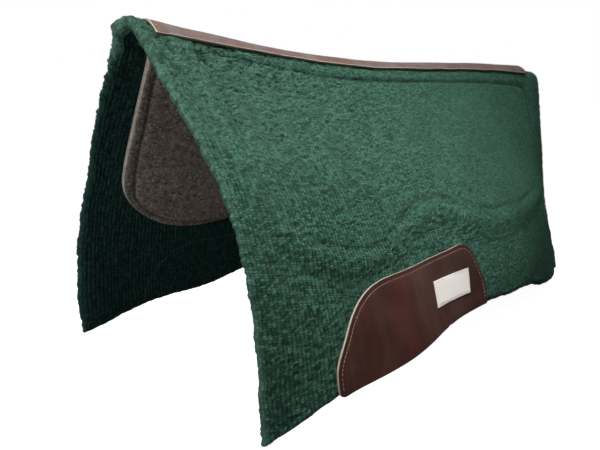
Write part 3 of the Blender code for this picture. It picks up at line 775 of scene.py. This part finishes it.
def closed_curve(stations, count):
    """A closed smooth curve through (u, s) stations."""
    p = metric(stations)
    ext = np.vstack([p[-3:], p, p[:3]])
    t = np.concatenate([[0], np.cumsum(np.sqrt(np.linalg.norm(np.diff(ext, axis=0), axis=1)))])
    fx, fy = spline(list(zip(t, ext[:, 0]))), spline(list(zip(t, ext[:, 1])))
    q = np.linspace(t[3], t[3 + len(p)], count * 4)
    return resample(np.stack([fx(q) / LENGTH, fy(q)], 1)[:-1], count, True)


FELT_SEAM = {1: closed_curve(SEAM_LEFT, 420), -1: closed_curve(SEAM_RIGHT, 420)}
FELT_OUTLINE = outline(*felt_rows(220), 60)
WEAR_OUTLINE = outline(*wear_rows(220), 20)
LABEL_OUTLINE = outline(*label_rows(40), 20)

# ---------------------------------------------------------------------------------------------------------------
# The woven blanket: ribs run down the side, wefts run along it; each weft floats over every other rib.

RIBS = 138
ROWS = 172
SUB = (0.0, 0.30, 0.70)  # stations across one rib: the gap and the two shoulders of the yarn
STAND = 0.0034  # how far the felt behind it lifts the blanket


def coarse(function, U, S):
    """A slow function of the cloth read from a coarse grid, for speed."""
    gu, gs = np.linspace(-0.02, 1.02, 260), np.linspace(-0.01, 0.52, 180)
    A, B = np.meshgrid(gu, gs, indexing="ij")
    tables = function(A, B)
    a = (np.clip(U, gu[0], gu[-1]) - gu[0]) / (gu[1] - gu[0])
    b = (np.clip(S, gs[0], gs[-1]) - gs[0]) / (gs[1] - gs[0])
    i, j = np.minimum(a.astype(int), 258), np.minimum(b.astype(int), 178)
    p, q = a - i, b - j
    return [(t[i, j] * (1 - p) + t[i + 1, j] * p) * (1 - q) + (t[i, j + 1] * (1 - p) + t[i + 1, j + 1] * p) * q for t in tables]


def signed(path):
    """A function giving the distance inside a closed outline, negative outside it."""

    def value(A, B):
        return [distance_to(path, A, B)[0] * np.where(inside(path, A, B), 1, -1)]

    return value


def wool_half(name, side):
    cols = np.array([(r + f) / RIBS for r in range(RIBS) for f in SUB] + [1.0])
    end = np.array([0.0, 0.0006, 0.0018, 0.0035])
    keep = (cols * LENGTH > 0.0045) & (cols * LENGTH < LENGTH - 0.0045)
    cols = np.concatenate([end / LENGTH, cols[keep], 1 - end[::-1] / LENGTH])
    rib_pos = cols * RIBS
    k = np.arange(2 * ROWS + 1) / (2.0 * ROWS)
    rows_b = np.concatenate([k[:-4], 1 - np.array([0.0075, 0.0048, 0.0026, 0.0010, 0.0])])
    weft_pos = rows_b * ROWS
    U = np.broadcast_to(cols[None, :], (len(rows_b), len(cols))).copy()
    B = np.broadcast_to(rows_b[:, None], U.shape).copy()
    S = B * drop(U)
    x = U * LENGTH
    RIB = np.broadcast_to(rib_pos[None, :], U.shape)
    WEFT = np.broadcast_to(weft_pos[:, None], U.shape)
    to_front, to_rear, to_foot = x, LENGTH - x, drop(U) - S
    seed = 100 * (2 + side)

    # hand weaving wanders: the threads of the lattice are nowhere quite straight
    calm = smooth(to_front / 0.012) * smooth(to_rear / 0.012) * smooth(to_foot / 0.012) * smooth((S - 0.002) / 0.02)
    wx = 0.0016 * value_noise(x / 0.034, S / 0.026, seed + 1) + 0.0009 * value_noise(x / 0.0085, S / 0.0060, seed + 2)
    ws = 0.0013 * value_noise(x / 0.030, S / 0.034, seed + 3) + 0.0006 * value_noise(x / 0.0090, S / 0.0050, seed + 4)

    def rim(d, r=0.0080):
        return (1 - (1 - np.clip(d / r, 0, 1)) ** 2.2) ** (1 / 2.2)

    roll = np.minimum(np.minimum(rim(to_front), rim(to_rear)), rim(to_foot))
    roll = roll + 0.10 * np.exp(-(((to_front - 0.007) / 0.005) ** 2))
    # the edge wavers, with a scallop at every few turns of the weft
    edge_x = np.exp(-to_front / 0.007) - np.exp(-to_rear / 0.007)
    edge_s = np.exp(-to_foot / 0.007)
    flat = 0 * U
    waver = (
        0.0004 * np.sin(WEFT * math.pi + 2.6 * value_noise(WEFT / 5, flat, 5))
        + 0.0007 * value_noise(WEFT / 1.15, flat + side, 36)
        + 0.0010 * value_noise(S / 0.0034, x / 0.0024 + side, 46)
        + 0.0009 * value_noise(WEFT / 2.3, flat + side, 6)
        + 0.0011 * value_noise(WEFT / 6.5, flat + side, 16)
        + 0.0016 * value_noise(WEFT / 19, flat + side, 26)
    )
    scallop = 0.0006 * value_noise(RIB / 0.9, flat + side, 7) + 0.0009 * value_noise(RIB / 2.6, flat + side, 8) + 0.0015 * value_noise(RIB / 9, flat + side, 18)
    quiet = smooth((S - 0.004) / 0.03)
    Ux = U + (wx * calm - waver * edge_x * quiet) / LENGTH
    Sx = S + ws * calm + scallop * edge_s
    corner_f = np.clip(1 - to_front / 0.022, 0, 1) * np.clip(1 - to_foot / 0.022, 0, 1)
    corner_r = np.clip(1 - to_rear / 0.022, 0, 1) * np.clip(1 - to_foot / 0.022, 0, 1)
    Ux = Ux + (corner_f * 0.0010 - corner_r * 0.0030 + (0.0080 + 0.0285 * smooth((S - 0.15) / 0.21)) * smooth((U - 0.82) / 0.18)) / LENGTH
    Ux = Ux + 0.0060 * np.exp(-(((S - 0.155) / 0.045) ** 2)) * smooth((U - 0.84) / 0.16) / LENGTH
    Sx = Sx + 0.0012 * np.exp(-(((to_front - 0.012) / 0.016) ** 2)) * np.exp(-to_foot / 0.03) - corner_r * 0.0030
    Sx = Sx + (0.0030 * smooth((U - 0.50) / 0.15) - 0.0135 * smooth((U - 0.80) / 0.20)) * smooth((S / drop(U) - 0.70) / 0.30)
    if side < 0:
        Ux = Ux - (0.0050 * smooth((S - 0.30) / 0.10) + 0.0050 * smooth((S - 0.39) / 0.06)) / LENGTH * np.exp(-to_front / 0.045)

    in_seam, in_felt, in_wear = (coarse(signed(p), Ux, Sx)[0] for p in (FELT_SEAM[side], FELT_OUTLINE, WEAR_OUTLINE))
    to_seam = distance_to(FELT_SEAM[side], Ux, Sx)[0]

    rearward = smooth((U - 0.30) / 0.44)

    def face(out):
        sd = seed + (0 if out else 50)
        rib = np.floor(RIB + 1e-6).astype(int)
        frac = RIB - rib
        along = (WEFT + 0.5 * (rib % 2)) % 1.0
        across_rib = np.where(frac < 0.02, 0.0, np.sin(np.pi * np.clip(frac, 0, 1)) ** 0.7)
        table = np.random.RandomState(sd).rand(RIBS + 2, ROWS + 4)
        cell = table[np.clip(rib, 0, RIBS), np.clip((WEFT + 0.5 * (rib % 2)).astype(int), 0, ROWS + 3)]
        weave = across_rib * (0.30 + 0.70 * np.sin(np.pi * along) ** 2)
        # where the cloth is brushed its pile hides the weave
        brushed = smooth((0.25 - S) / 0.16) * smooth((0.52 - U) / 0.36)
        brushed = np.clip(0.30 + 0.22 * fbm(x / 0.05, S / 0.05, 3, sd + 11) + 0.55 * brushed - 0.25 * smooth((S - 0.26) / 0.1), 0.05, 0.95)
        if not out:
            brushed = 0.3 + 0 * brushed
        gap_depth = 0.6 + 0.4 * value_noise(RIB * 0.5, WEFT / 9, sd + 61)
        amp = 0.0021 * (1 - 0.50 * brushed) * (1 - 0.50 * rearward)
        relief = amp * (weave * (0.40 + 1.05 * cell) - 0.5) * gap_depth
        relief = relief + 0.00090 * (0.45 + brushed) * (1 - 0.5 * rearward) * value_noise(x / 0.0030, S / 0.0023, sd + 21)
        relief = relief + 0.00110 * (0.45 + brushed) * (1 - 0.55 * rearward) * fbm(x / 0.0068, S / 0.0048, 2, sd + 31)
        relief = relief + 0.0006 * fbm(x / 0.060, S / 0.050, 2, sd + 41)
        # longer locks stand on the crest and the top of the front, with creases between them
        clumps = 0 * U
        if out:
            locks = smooth((0.17 - S) / 0.12) * smooth((0.46 - U) / 0.34)
            crease = np.exp(-((value_noise(x / 0.0074 + 0.3 * value_noise(x / 0.004, S / 0.004, sd + 83), S / 0.0056, sd + 81) / 0.20) ** 2))
            relief = relief - 0.0016 * locks * (crease - 0.3)
            clumps = locks * crease
        return relief, weave, clumps, brushed

    relief_o, weave_o, clumps_o, pile_o = face(True)
    relief_i, weave_i, clumps_i, pile_i = face(False)
    low = smooth((Sx - 0.15) / 0.07)
    lift = smooth((in_felt + 0.012 + 0.022 * low) / (0.022 + 0.010 * low)) * (1 + 1.35 * low * (1 - 0.75 * smooth((U - 0.44) / 0.16))) * (1 - 0.5 * smooth((U - 0.78) / 0.14))
    pull = 0.75 + 0.35 * value_noise(x / 0.012, S / 0.012, seed + 71)
    top_seam = smooth((0.075 - Sx) / 0.03)
    # the seam pulls the cloth in; below it the felt's edge pushes a soft roll forward
    beyond = -in_seam
    flank = np.where(beyond > 0, 0.0095, 0.0046)
    soft = np.exp(-((to_seam / flank) ** 2))
    groove = (0.0021 - 0.0004 * low + 0.0018 * top_seam) * soft + (0.0006 + 0.0026 * top_seam) * pull * np.exp(-((to_seam / 0.0032) ** 2))
    groove = groove * (1 - 0.42 * low * np.exp(-(((U - 0.47) / 0.09) ** 2))) * (1 - 0.25 * low * smooth((U - 0.55) / 0.12)) * (1 - 0.35 * low * smooth((U - 0.80) / 0.12))
    outer_n = WOOL_T / 2 + relief_o + STAND * lift - groove - 0.0006
    inner_n = WOOL_T / 2 + relief_i - 0.0004
    under = smooth((in_wear + 0.0005) / 0.003)
    outer_n = outer_n * (1 - under) + np.minimum(outer_n, WOOL_T / 2 - 0.0002) * under
    strip = strip_half(Ux)
    spine_under = smooth((strip + 0.001 - Sx) / 0.003) * smooth((Ux - SPINE_U[0] + 0.003) / 0.004) * smooth((SPINE_U[1] + 0.003 - Ux) / 0.004)
    outer_n = outer_n * (1 - spine_under) + np.minimum(outer_n, WOOL_T / 2 - 0.0002) * spine_under
    backed = smooth((in_felt + 0.0005) / 0.003)
    inner_n = inner_n * (1 - backed) + np.minimum(inner_n, WOOL_T / 2 + 0.0003) * backed
    # both halves meet on the ridge, so the relief there depends on u alone
    ridge = smooth((0.006 - S) / 0.006)
    ridge_relief = WOOL_T / 2 - 0.0003 + 0.0006 * value_noise(x / 0.005, 0 * x, 77) + 0.0009 * value_noise(x / 0.019, 0 * x, 78)
    outer_n = outer_n * (1 - ridge) + np.where(spine_under > 0.3, np.minimum(ridge_relief, WOOL_T / 2 - 0.0002), ridge_relief) * ridge
    inner_n = inner_n * (1 - ridge) + (WOOL_T / 2 - 0.0003) * ridge

    # the cloth curls in along the rear edge
    curl = 0.006 * smooth((U - 0.90) / 0.10) ** 1.5
    outer = place(Ux, Sx, outer_n * roll - curl, side)
    inner = place(Ux, Sx, -inner_n * roll - curl, side)
    crown = np.exp(-((x / 0.026) ** 2)) * np.exp(-((S / 0.028) ** 2)) * (1 - smooth((Ux - SPINE_U[0] + 0.018) / 0.013))
    outer = outer + crown[..., None] * np.array((0, 0, 0.0036))
    inner = inner + crown[..., None] * np.array((0, 0, 0.0008))
    # the off side's front edge leans back lower down
    if side < 0:
        lean = np.exp(-x / 0.050) * np.exp(-(((Sx - 0.260) / 0.070) ** 2))
        outer = outer - lean[..., None] * np.array((0.008, 0, 0))
        inner = inner - lean[..., None] * np.array((0.008, 0, 0))
    nr, nc = U.shape
    count = nr * nc
    index = np.arange(count).reshape(nr, nc)
    inner_index = index + count
    inner_index[:, 0], inner_index[:, -1], inner_index[-1, :] = index[:, 0], index[:, -1], index[-1, :]
    rim_mask = np.zeros((nr, nc), bool)
    rim_mask[:, 0] = rim_mask[:, -1] = rim_mask[-1, :] = True
    outer[rim_mask] = (outer[rim_mask] + inner[rim_mask]) / 2
    verts = np.vstack([outer.reshape(-1, 3), inner.reshape(-1, 3)])
    a = grid_quads(nr, nc)
    b = inner_index.ravel()[a]
    quads = np.vstack([a[:, ::-1], b]) if side > 0 else np.vstack([a, b[:, ::-1]])
    used = np.unique(quads)
    remap = np.zeros(len(verts), int)
    remap[used] = np.arange(len(used))
    quads = remap[quads]
    # inner faces take the darker wool, which is painted shade; faces within 7.5 mm of a cut edge keep the outer wool,
    # on the off side only near the crest, thinning out at random lower down
    blend_in = np.random.RandomState(9).rand(*S.shape) < 1 - smooth((S - 0.026) / 0.060)
    at_rim = (np.minimum(np.minimum(to_front, to_rear), to_foot) < 0.0075) & ((side > 0) | blend_in)
    at_rim = at_rim.ravel()
    slots = np.concatenate([np.zeros(len(a)), np.where(at_rim[a[:, 0]], 0, 1)])

    def both(p, q):
        return np.concatenate([np.ravel(p), np.ravel(q)])[used]

    # round the cut edges the cloth's own length goes on, so that the yarns are not drawn out there
    more_x = WOOL_T / 2 * (rim(to_front) - rim(to_rear))
    more_s = WOOL_T / 2 * (1 - rim(to_foot))
    uv = np.stack([both(x + more_x, x + more_x), both(S + more_s, S + more_s)], 1)
    rib_uv, weft_uv = RIB + more_x * RIBS / LENGTH, WEFT + more_s * ROWS / drop(U)
    # the groove attribute below is painted shade: darkening along the felt seam, in the creases between locks, in a
    # band along the top seam below the spine strip and over the foot towards the rear
    obj = make_mesh(
        name,
        verts[used],
        quads,
        uv,
        {
            "pile": both(pile_o, pile_i),
            "groove": both(np.exp(-((to_seam / 0.0034) ** 2)) * pull * (0.35 * (1 - low) + 1.5 * top_seam) + 0.85 * clumps_o + 0.55 * np.exp(-(((Sx - 0.037) / 0.008) ** 2)) * smooth((U - 0.09) / 0.05) * (1 - 0.6 * smooth((U - 0.36) / 0.20)) * pull + 0.75 * smooth((S - 0.225) / 0.09) * smooth((U - 0.60) / 0.25), flat),
            "still": both(rearward, rearward),
            "rim": both(*[np.exp(-np.minimum(np.minimum(to_front, to_rear), to_foot) / 0.0028)] * 2),
        },
        slots,
    )
    layer = obj.data.uv_layers.new(name="lattice")
    layer.data.foreach_set("uv", np.stack([both(rib_uv, rib_uv), both(weft_uv, weft_uv)], 1)[quads.ravel()].astype(np.float32).ravel())
    obj.data.uv_layers.active = obj.data.uv_layers["cloth"]
    obj.data.materials.append(WOOL_OUT)
    obj.data.materials.append(WOOL_INNER_SHADED)
    bend = both(strip, strip) + 0.0005
    fold = smooth((both(S, S) - bend) / (np.maximum(0.0345, bend + 0.009) - bend))
    return obj, fold


SIDES = {1: "left", -1: "right"}
for side, word in SIDES.items():
    wool, fold = wool_half(f"wool_blanket_{word}", side)
    front = place(0.5, 0.019, 0, side)
    back = place(0.5, 0.0345, 0, side)
    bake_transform(wool)
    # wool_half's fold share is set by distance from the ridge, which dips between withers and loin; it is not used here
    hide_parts(f"wool_{word}", *(["wool_crest"] if side > 0 else []))

# ---------------------------------------------------------------------------------------------------------------
# Leather, felt and labels


def worn_edge(distance_path, U, S, reach=0.006):
    d, _ = distance_to(distance_path, U, S)
    return np.exp(-d / reach)


LEATHER_LOW = WOOL_T / 2 + GAP * 0.4
LEATHER_HIGH = WOOL_T / 2 + GAP + LEATHER_T
WEAR_LOOP = inset(WEAR_OUTLINE, 0.0050, 900)
# the panel is sewn up one end, along its top and down the other; its foot is left plain
sewn = WEAR_LOOP[:, 1] < drop(WEAR_LOOP[:, 0]) - 0.0055
turn_at = int(np.argmax(sewn & ~np.roll(sewn, 1)))
WEAR_SEAM = np.roll(WEAR_LOOP, -turn_at, axis=0)[: int(sewn.sum())]
for side, word in SIDES.items():
    top, bottom = wear_rows(260)
    U, S = spread(top, bottom, 90, 0.55)
    d_edge, _ = distance_to(WEAR_OUTLINE, U, S)
    d_seam, run = distance_to(WEAR_SEAM, U, S, False)
    high = LEATHER_HIGH - 0.0004 * (1 - np.clip(d_edge / 0.0010, 0, 1)) ** 2 - 0.00045 * np.exp(-((d_seam / 0.0011) ** 2))
    high = high - 0.0018 * np.exp(-(((U - 0.366 - 0.25 * (S - 0.380)) * LENGTH / 0.0032) ** 2)) * smooth((S - 0.3705) / 0.012)
    high = high + 0.0010 * fbm(U * LENGTH / 0.11, S / 0.09, 2, 900 + side) * smooth(d_edge / 0.02) + 0.0003 * fbm(U * LENGTH / 0.03, S / 0.03, 2, 910 + side) * smooth(d_edge / 0.012)
    low = np.full(U.shape, LEATHER_LOW)
    worn = worn_edge(WEAR_OUTLINE, U, S, 0.0035)

    def extra(total, count, ring, worn=worn):
        v = np.zeros(total)
        v[:count] = worn.ravel()
        return {"worn": v}

    leather = slab(f"wear_leather_panel_{word}", U, S, low, high, side, 5, 0.0004, extra)
    for m in (LEATHER, LEATHER_EDGE, LEATHER_BACK):
        leather.data.materials.append(m)
    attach(leather, f"{word}_side")
    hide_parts(f"wear_leather_{word}")

    def on_leather(u, s, side=side):
        d_seam, _ = distance_to(WEAR_SEAM, u, s, False)
        d_edge, _ = distance_to(WEAR_OUTLINE, u, s)
        base = LEATHER_HIGH - 0.00045 * np.exp(-((d_seam / 0.0011) ** 2))
        return base + 0.0010 * fbm(u * LENGTH / 0.11, s / 0.09, 2, 900 + side) * smooth(d_edge / 0.02) + 0.0003 * fbm(u * LENGTH / 0.03, s / 0.03, 2, 910 + side) * smooth(d_edge / 0.012)

    row = stitches(f"wear_stitches_{word}", WEAR_SEAM, on_leather, side, 0.0036, 0.0013, 0.00040, closed=False, seed=20 + side)
    row.data.materials.append(TAN)
    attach(row, f"{word}_side")
    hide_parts(f"wear_needle_thread_{word}")
    row = stitches(f"wear_stitches_inside_{word}", WEAR_SEAM, -WOOL_T / 2 - 0.0006, side, 0.0036, 0.0013, 0.00042, closed=False, arch=-1, seed=30 + side)
    row.data.materials.append(GREEN)
    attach(row, f"{word}_side")
    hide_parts(f"wear_bobbin_thread_{word}")

    # label
    top, bottom = label_rows(120)
    U, S = spread(top, bottom, 56, 0.4)
    d_edge, run = distance_to(LABEL_OUTLINE, U, S)
    base = on_leather(U, S)
    label_high = base + 0.0003 + LABEL_T * 0.9 + 0.0005 * smooth(d_edge / 0.004) * (0.6 + 0.4 * fbm(U * LENGTH / 0.02, S / 0.015, 2, 940 + side))
    label_high = label_high - 0.0004 * np.exp(-(((d_edge - 0.0022) / 0.0008) ** 2)) * (0.6 + 0.4 * np.cos(run * 2 * math.pi / 0.003))
    # the edge attribute is painted shade along the label's turned-down border
    edge = np.exp(-(((d_edge - 0.0008) / 0.0010) ** 2))

    def extra_label(total, count, ring, edge=edge):
        v = np.zeros(total)
        v[:count] = edge.ravel()
        return {"edge": v}

    label = slab(f"woven_label_{word}", U, S, base + 0.00015, label_high, side, 3, 0.0001, extra_label)
    for m in (LABEL, LABEL, LABEL):
        label.data.materials.append(m)
    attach(label, f"{word}_side")
    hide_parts(f"label_{word}")
    seam_label = inset(LABEL_OUTLINE, 0.0022, 200)

    def on_label(u, s, side=side):
        return on_leather(u, s) + LABEL_T + 0.0004

    row = stitches(f"label_stitches_{word}", seam_label, on_label, side, 0.0024, 0.0006, 0.00026, seed=40 + side, sink=0.0003, sides=6, rings=5)
    row.data.materials.append(CREAM)
    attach(row, f"{word}_side")
    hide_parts(f"label_thread_{word}")

    # felt insert: its outer face lies on the wool, its inner face is the one seen under the arch
    top, bottom = felt_rows(300)
    U, S = spread(top, bottom, 170, 0.45)
    d_edge, _ = distance_to(FELT_OUTLINE, U, S)
    d_seam, run = distance_to(FELT_SEAM[side], U, S)
    seat = -WOOL_T / 2 - FELT_GAP
    thick = FELT_T - 0.0016 * (1 - np.clip(d_edge / 0.0035, 0, 1)) ** 2
    pull = np.exp(-((d_seam / 0.0022) ** 2)) * (0.78 + 0.22 * np.cos(run * 2 * math.pi / 0.0065)) + 0.4 * np.exp(-((d_seam / 0.007) ** 2))
    thick = thick - 0.0028 * pull + 0.00040 * fbm(U * LENGTH / 0.0045, S / 0.0040, 3, 700 + side) + 0.0006 * fbm(U * LENGTH / 0.05, S / 0.05, 2, 710 + side)
    felt = slab(f"felt_insert_{word}", U, S, seat - thick, np.full(U.shape, seat), side, 6, 0.0005)
    for m in (FELT, FELT_CUT_LIT, FELT):
        felt.data.materials.append(m)
    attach(felt, f"{word}_side")
    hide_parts(f"felt_{word}")

    def on_felt(u, s, side=side):
        return np.full(np.shape(u), -WOOL_T / 2 - FELT_GAP - FELT_T + 0.0030)

    row = stitches(f"felt_stitches_inside_{word}", FELT_SEAM[side], on_felt, side, 0.0052, 0.0013, 0.00060, arch=-1, seed=50 + side)
    row.data.materials.append(BROWN)
    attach(row, f"{word}_side")
    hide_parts(f"felt_bobbin_thread_{word}")
    row = stitches(f"felt_stitches_outside_{word}", FELT_SEAM[side], WOOL_T / 2 - 0.0024, side, 0.0052, 0.0013, 0.00055, seed=60 + side)
    row.data.materials.append(GREEN)
    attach(row, f"{word}_side")
    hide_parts(f"felt_needle_thread_{word}")

# spine leather
cu = np.linspace(SPINE_U[0], SPINE_U[1], 420)
cs = np.linspace(-SPINE_HALF, SPINE_HALF, 56)
U, S = np.meshgrid(cu, cs)
S = S * strip_half(U) / SPINE_HALF
to_side, to_end = strip_half(U) - np.abs(S), np.minimum(U - SPINE_U[0], SPINE_U[1] - U) * LENGTH
d_edge = np.minimum(to_side, to_end)
INSET_SIDE, INSET_END = 0.0038, 0.0050
d_seam = np.minimum(
    np.where(to_end > INSET_END, np.abs(to_side - INSET_SIDE), 1), np.where(to_side > INSET_SIDE, np.abs(to_end - INSET_END), 1)
)
rim_wave = 0.0007 * value_noise(U * 34, np.sign(S) * 3, 55) * smooth(np.abs(S) / SPINE_HALF)
high = LEATHER_HIGH - 0.0004 * (1 - np.clip(d_edge / 0.0010, 0, 1)) ** 2 - 0.0004 * np.exp(-((d_seam / 0.0011) ** 2)) + 0.0005 * fbm(U * LENGTH / 0.06, S / 0.03, 2, 920)
# the spine's edge attribute carries the rim's darkening and the painted highlight along its edge
worn = np.exp(-d_edge / 0.003)


def extra_spine(total, count, ring):
    v = np.zeros(total)
    v[:count] = worn.ravel()
    return {"worn": v}


spine = slab("spine_leather_strip", U, S + rim_wave, LEATHER_LOW, high, 1, 5, 0.0003, extra_spine)
for m in (SPINE_LEATHER, SPINE_EDGE, LEATHER_BACK):
    spine.data.materials.append(m)
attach(spine, "spine")
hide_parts("spine_leather")
a, b = SPINE_U[0] + INSET_END / LENGTH, SPINE_U[1] - INSET_END / LENGTH
wa, wb = strip_half(a) - INSET_SIDE, strip_half(b) - INSET_SIDE
loop = np.array(
    [(u, strip_half(u) - INSET_SIDE) for u in np.linspace(a, b, 160)]
    + [(b, s) for s in np.linspace(wb, -wb, 30)[1:-1]]
    + [(u, INSET_SIDE - strip_half(u)) for u in np.linspace(b, a, 160)]
    + [(a, s) for s in np.linspace(-wa, wa, 30)[1:-1]]
)


def on_spine(u, s):
    return LEATHER_HIGH - 0.0004 + 0.0005 * fbm(u * LENGTH / 0.06, s / 0.03, 2, 920)


row = stitches("spine_stitches", loop, on_spine, 1, 0.0036, 0.0013, 0.00042, seed=70)
row.data.materials.append(TAN)
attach(row, "spine")
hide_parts("spine_needle_thread")
row = stitches("spine_stitches_inside", loop, -WOOL_T / 2 - 0.0001, 1, 0.0036, 0.0013, 0.00042, arch=-1, seed=71)
row.data.materials.append(TAN)
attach(row, "spine")
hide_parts("spine_bobbin_thread")

# ---------------------------------------------------------------------------------------------------------------
# Floor, light and camera


def floor_material():
    """A pale sweep that reads as near-white paper with a soft shadow on it."""
    m = Nodes("floor")
    m.set(m.shader.inputs["Base Color"], (0.80, 0.80, 0.80, 1))
    m.set(m.shader.inputs["Roughness"], 0.9)
    m.set(m.shader.inputs["Specular IOR Level"], 0.0)
    m.set(m.shader.inputs["Emission Color"], (1, 1, 1, 1))
    glow = m.math("MULTIPLY", m.add("ShaderNodeLightPath").outputs["Is Camera Ray"], 0.90)
    m.set(m.shader.inputs["Emission Strength"], glow)
    return m.mat


floor = bpy.data.meshes.new("floor")
floor.from_pydata([(-30, -30, -0.0065), (30, -30, -0.0065), (30, 30, -0.0065), (-30, 30, -0.0065)], [], [(0, 1, 2, 3)])
floor_obj = bpy.data.objects.new("floor", floor)
floor.materials.append(floor_material())
floor_obj.visible_diffuse = False
floor_obj.visible_glossy = False
bpy.context.scene.collection.objects.link(floor_obj)

world = bpy.data.worlds.new("studio")
bpy.context.scene.world = world
world.use_nodes = True
t = world.node_tree
t.nodes.clear()
out = t.nodes.new("ShaderNodeOutputWorld")
path = t.nodes.new("ShaderNodeLightPath")
lit, seen, mixed = t.nodes.new("ShaderNodeBackground"), t.nodes.new("ShaderNodeBackground"), t.nodes.new("ShaderNodeMixShader")
lit.inputs[0].default_value = (1, 1, 1, 1)
seen.inputs[0].default_value, seen.inputs[1].default_value = (1, 1, 1, 1), 1.0
# the room's light comes from above, none of it from below the horizon
sky = t.nodes.new("ShaderNodeTexCoord")
height = t.nodes.new("ShaderNodeSeparateXYZ")
rise = t.nodes.new("ShaderNodeMapRange")
rise.inputs["From Min"].default_value, rise.inputs["From Max"].default_value = 0.0, 0.9
rise.inputs["To Min"].default_value, rise.inputs["To Max"].default_value = 0.05, 0.24
t.links.new(sky.outputs["Generated"], height.inputs[0])
t.links.new(height.outputs[2], rise.inputs[0])
t.links.new(rise.outputs[0], lit.inputs[1])
t.links.new(path.outputs["Is Camera Ray"], mixed.inputs[0])
t.links.new(lit.outputs[0], mixed.inputs[1])
t.links.new(seen.outputs[0], mixed.inputs[2])
t.links.new(mixed.outputs[0], out.inputs[0])


def area(name, at, to, size, power, spread=180):
    d = bpy.data.lights.new(name, "AREA")
    d.shape, d.size, d.energy, d.spread = "DISK", size, power, math.radians(spread)
    o = bpy.data.objects.new(name, d)
    o.location = at
    o.rotation_mode = "QUATERNION"
    o.rotation_quaternion = (Vector(to) - Vector(at)).to_track_quat("-Z", "Y")
    bpy.context.scene.collection.objects.link(o)
    return o


area("key", (0.26, 0.44, 1.62), (0.115, 0.135, 0.245), 0.70, 5.2, 60)
area("crest", (1.05, -0.30, 1.35), (0.34, 0.00, 0.38), 0.45, 0.65, 50)
area("fill", (1.75, -0.10, 0.50), (0.30, -0.10, 0.25), 0.9, 11)
area("near_fill", (1.20, 0.85, 0.25), (0.32, 0.15, 0.15), 0.8, 4.4)

# The camera, given in the drape's own axes and levelled with it.
eye = Vector((0.7067, 0.7252, -0.1011))
yaw, pitch, roll = 0.9103, -0.1598, -0.0126
base_yaw = math.pi + yaw
fwd = Vector((math.cos(base_yaw) * math.cos(pitch), math.sin(base_yaw) * math.cos(pitch), math.sin(pitch)))
right = fwd.cross(Vector((0, 0, 1))).normalized()
upv = right.cross(fwd)
r = right * math.cos(roll) + upv * math.sin(roll)
up = -right * math.sin(roll) + upv * math.cos(roll)
turn = LEVEL.to_3x3()
r, up, fwd = turn @ r, turn @ up, turn @ fwd
cam = bpy.data.cameras.new("camera")
cam_obj = bpy.data.objects.new("camera", cam)
cam_obj.matrix_world = Matrix((
    (r.x, up.x, -fwd.x, 0), (r.y, up.y, -fwd.y, 0), (r.z, up.z, -fwd.z, 0), (0, 0, 0, 1)
))
cam_obj.location = LEVEL @ eye
cam.sensor_width = 36
cam.lens = 682.26 / 600 * 36
cam.shift_x, cam.shift_y = (300 - 298.07) / 600, (224.34 - 225) / 600
cam.clip_start, cam.clip_end = 0.01, 100
cam.dof.use_dof = True
cam.dof.focus_distance = 0.76
cam.dof.aperture_fstop = 13.0
bpy.context.scene.collection.objects.link(cam_obj)
bpy.context.scene.camera = cam_obj
bpy.context.scene.view_settings.view_transform = "Standard"
bpy.context.scene.view_settings.look = "None"
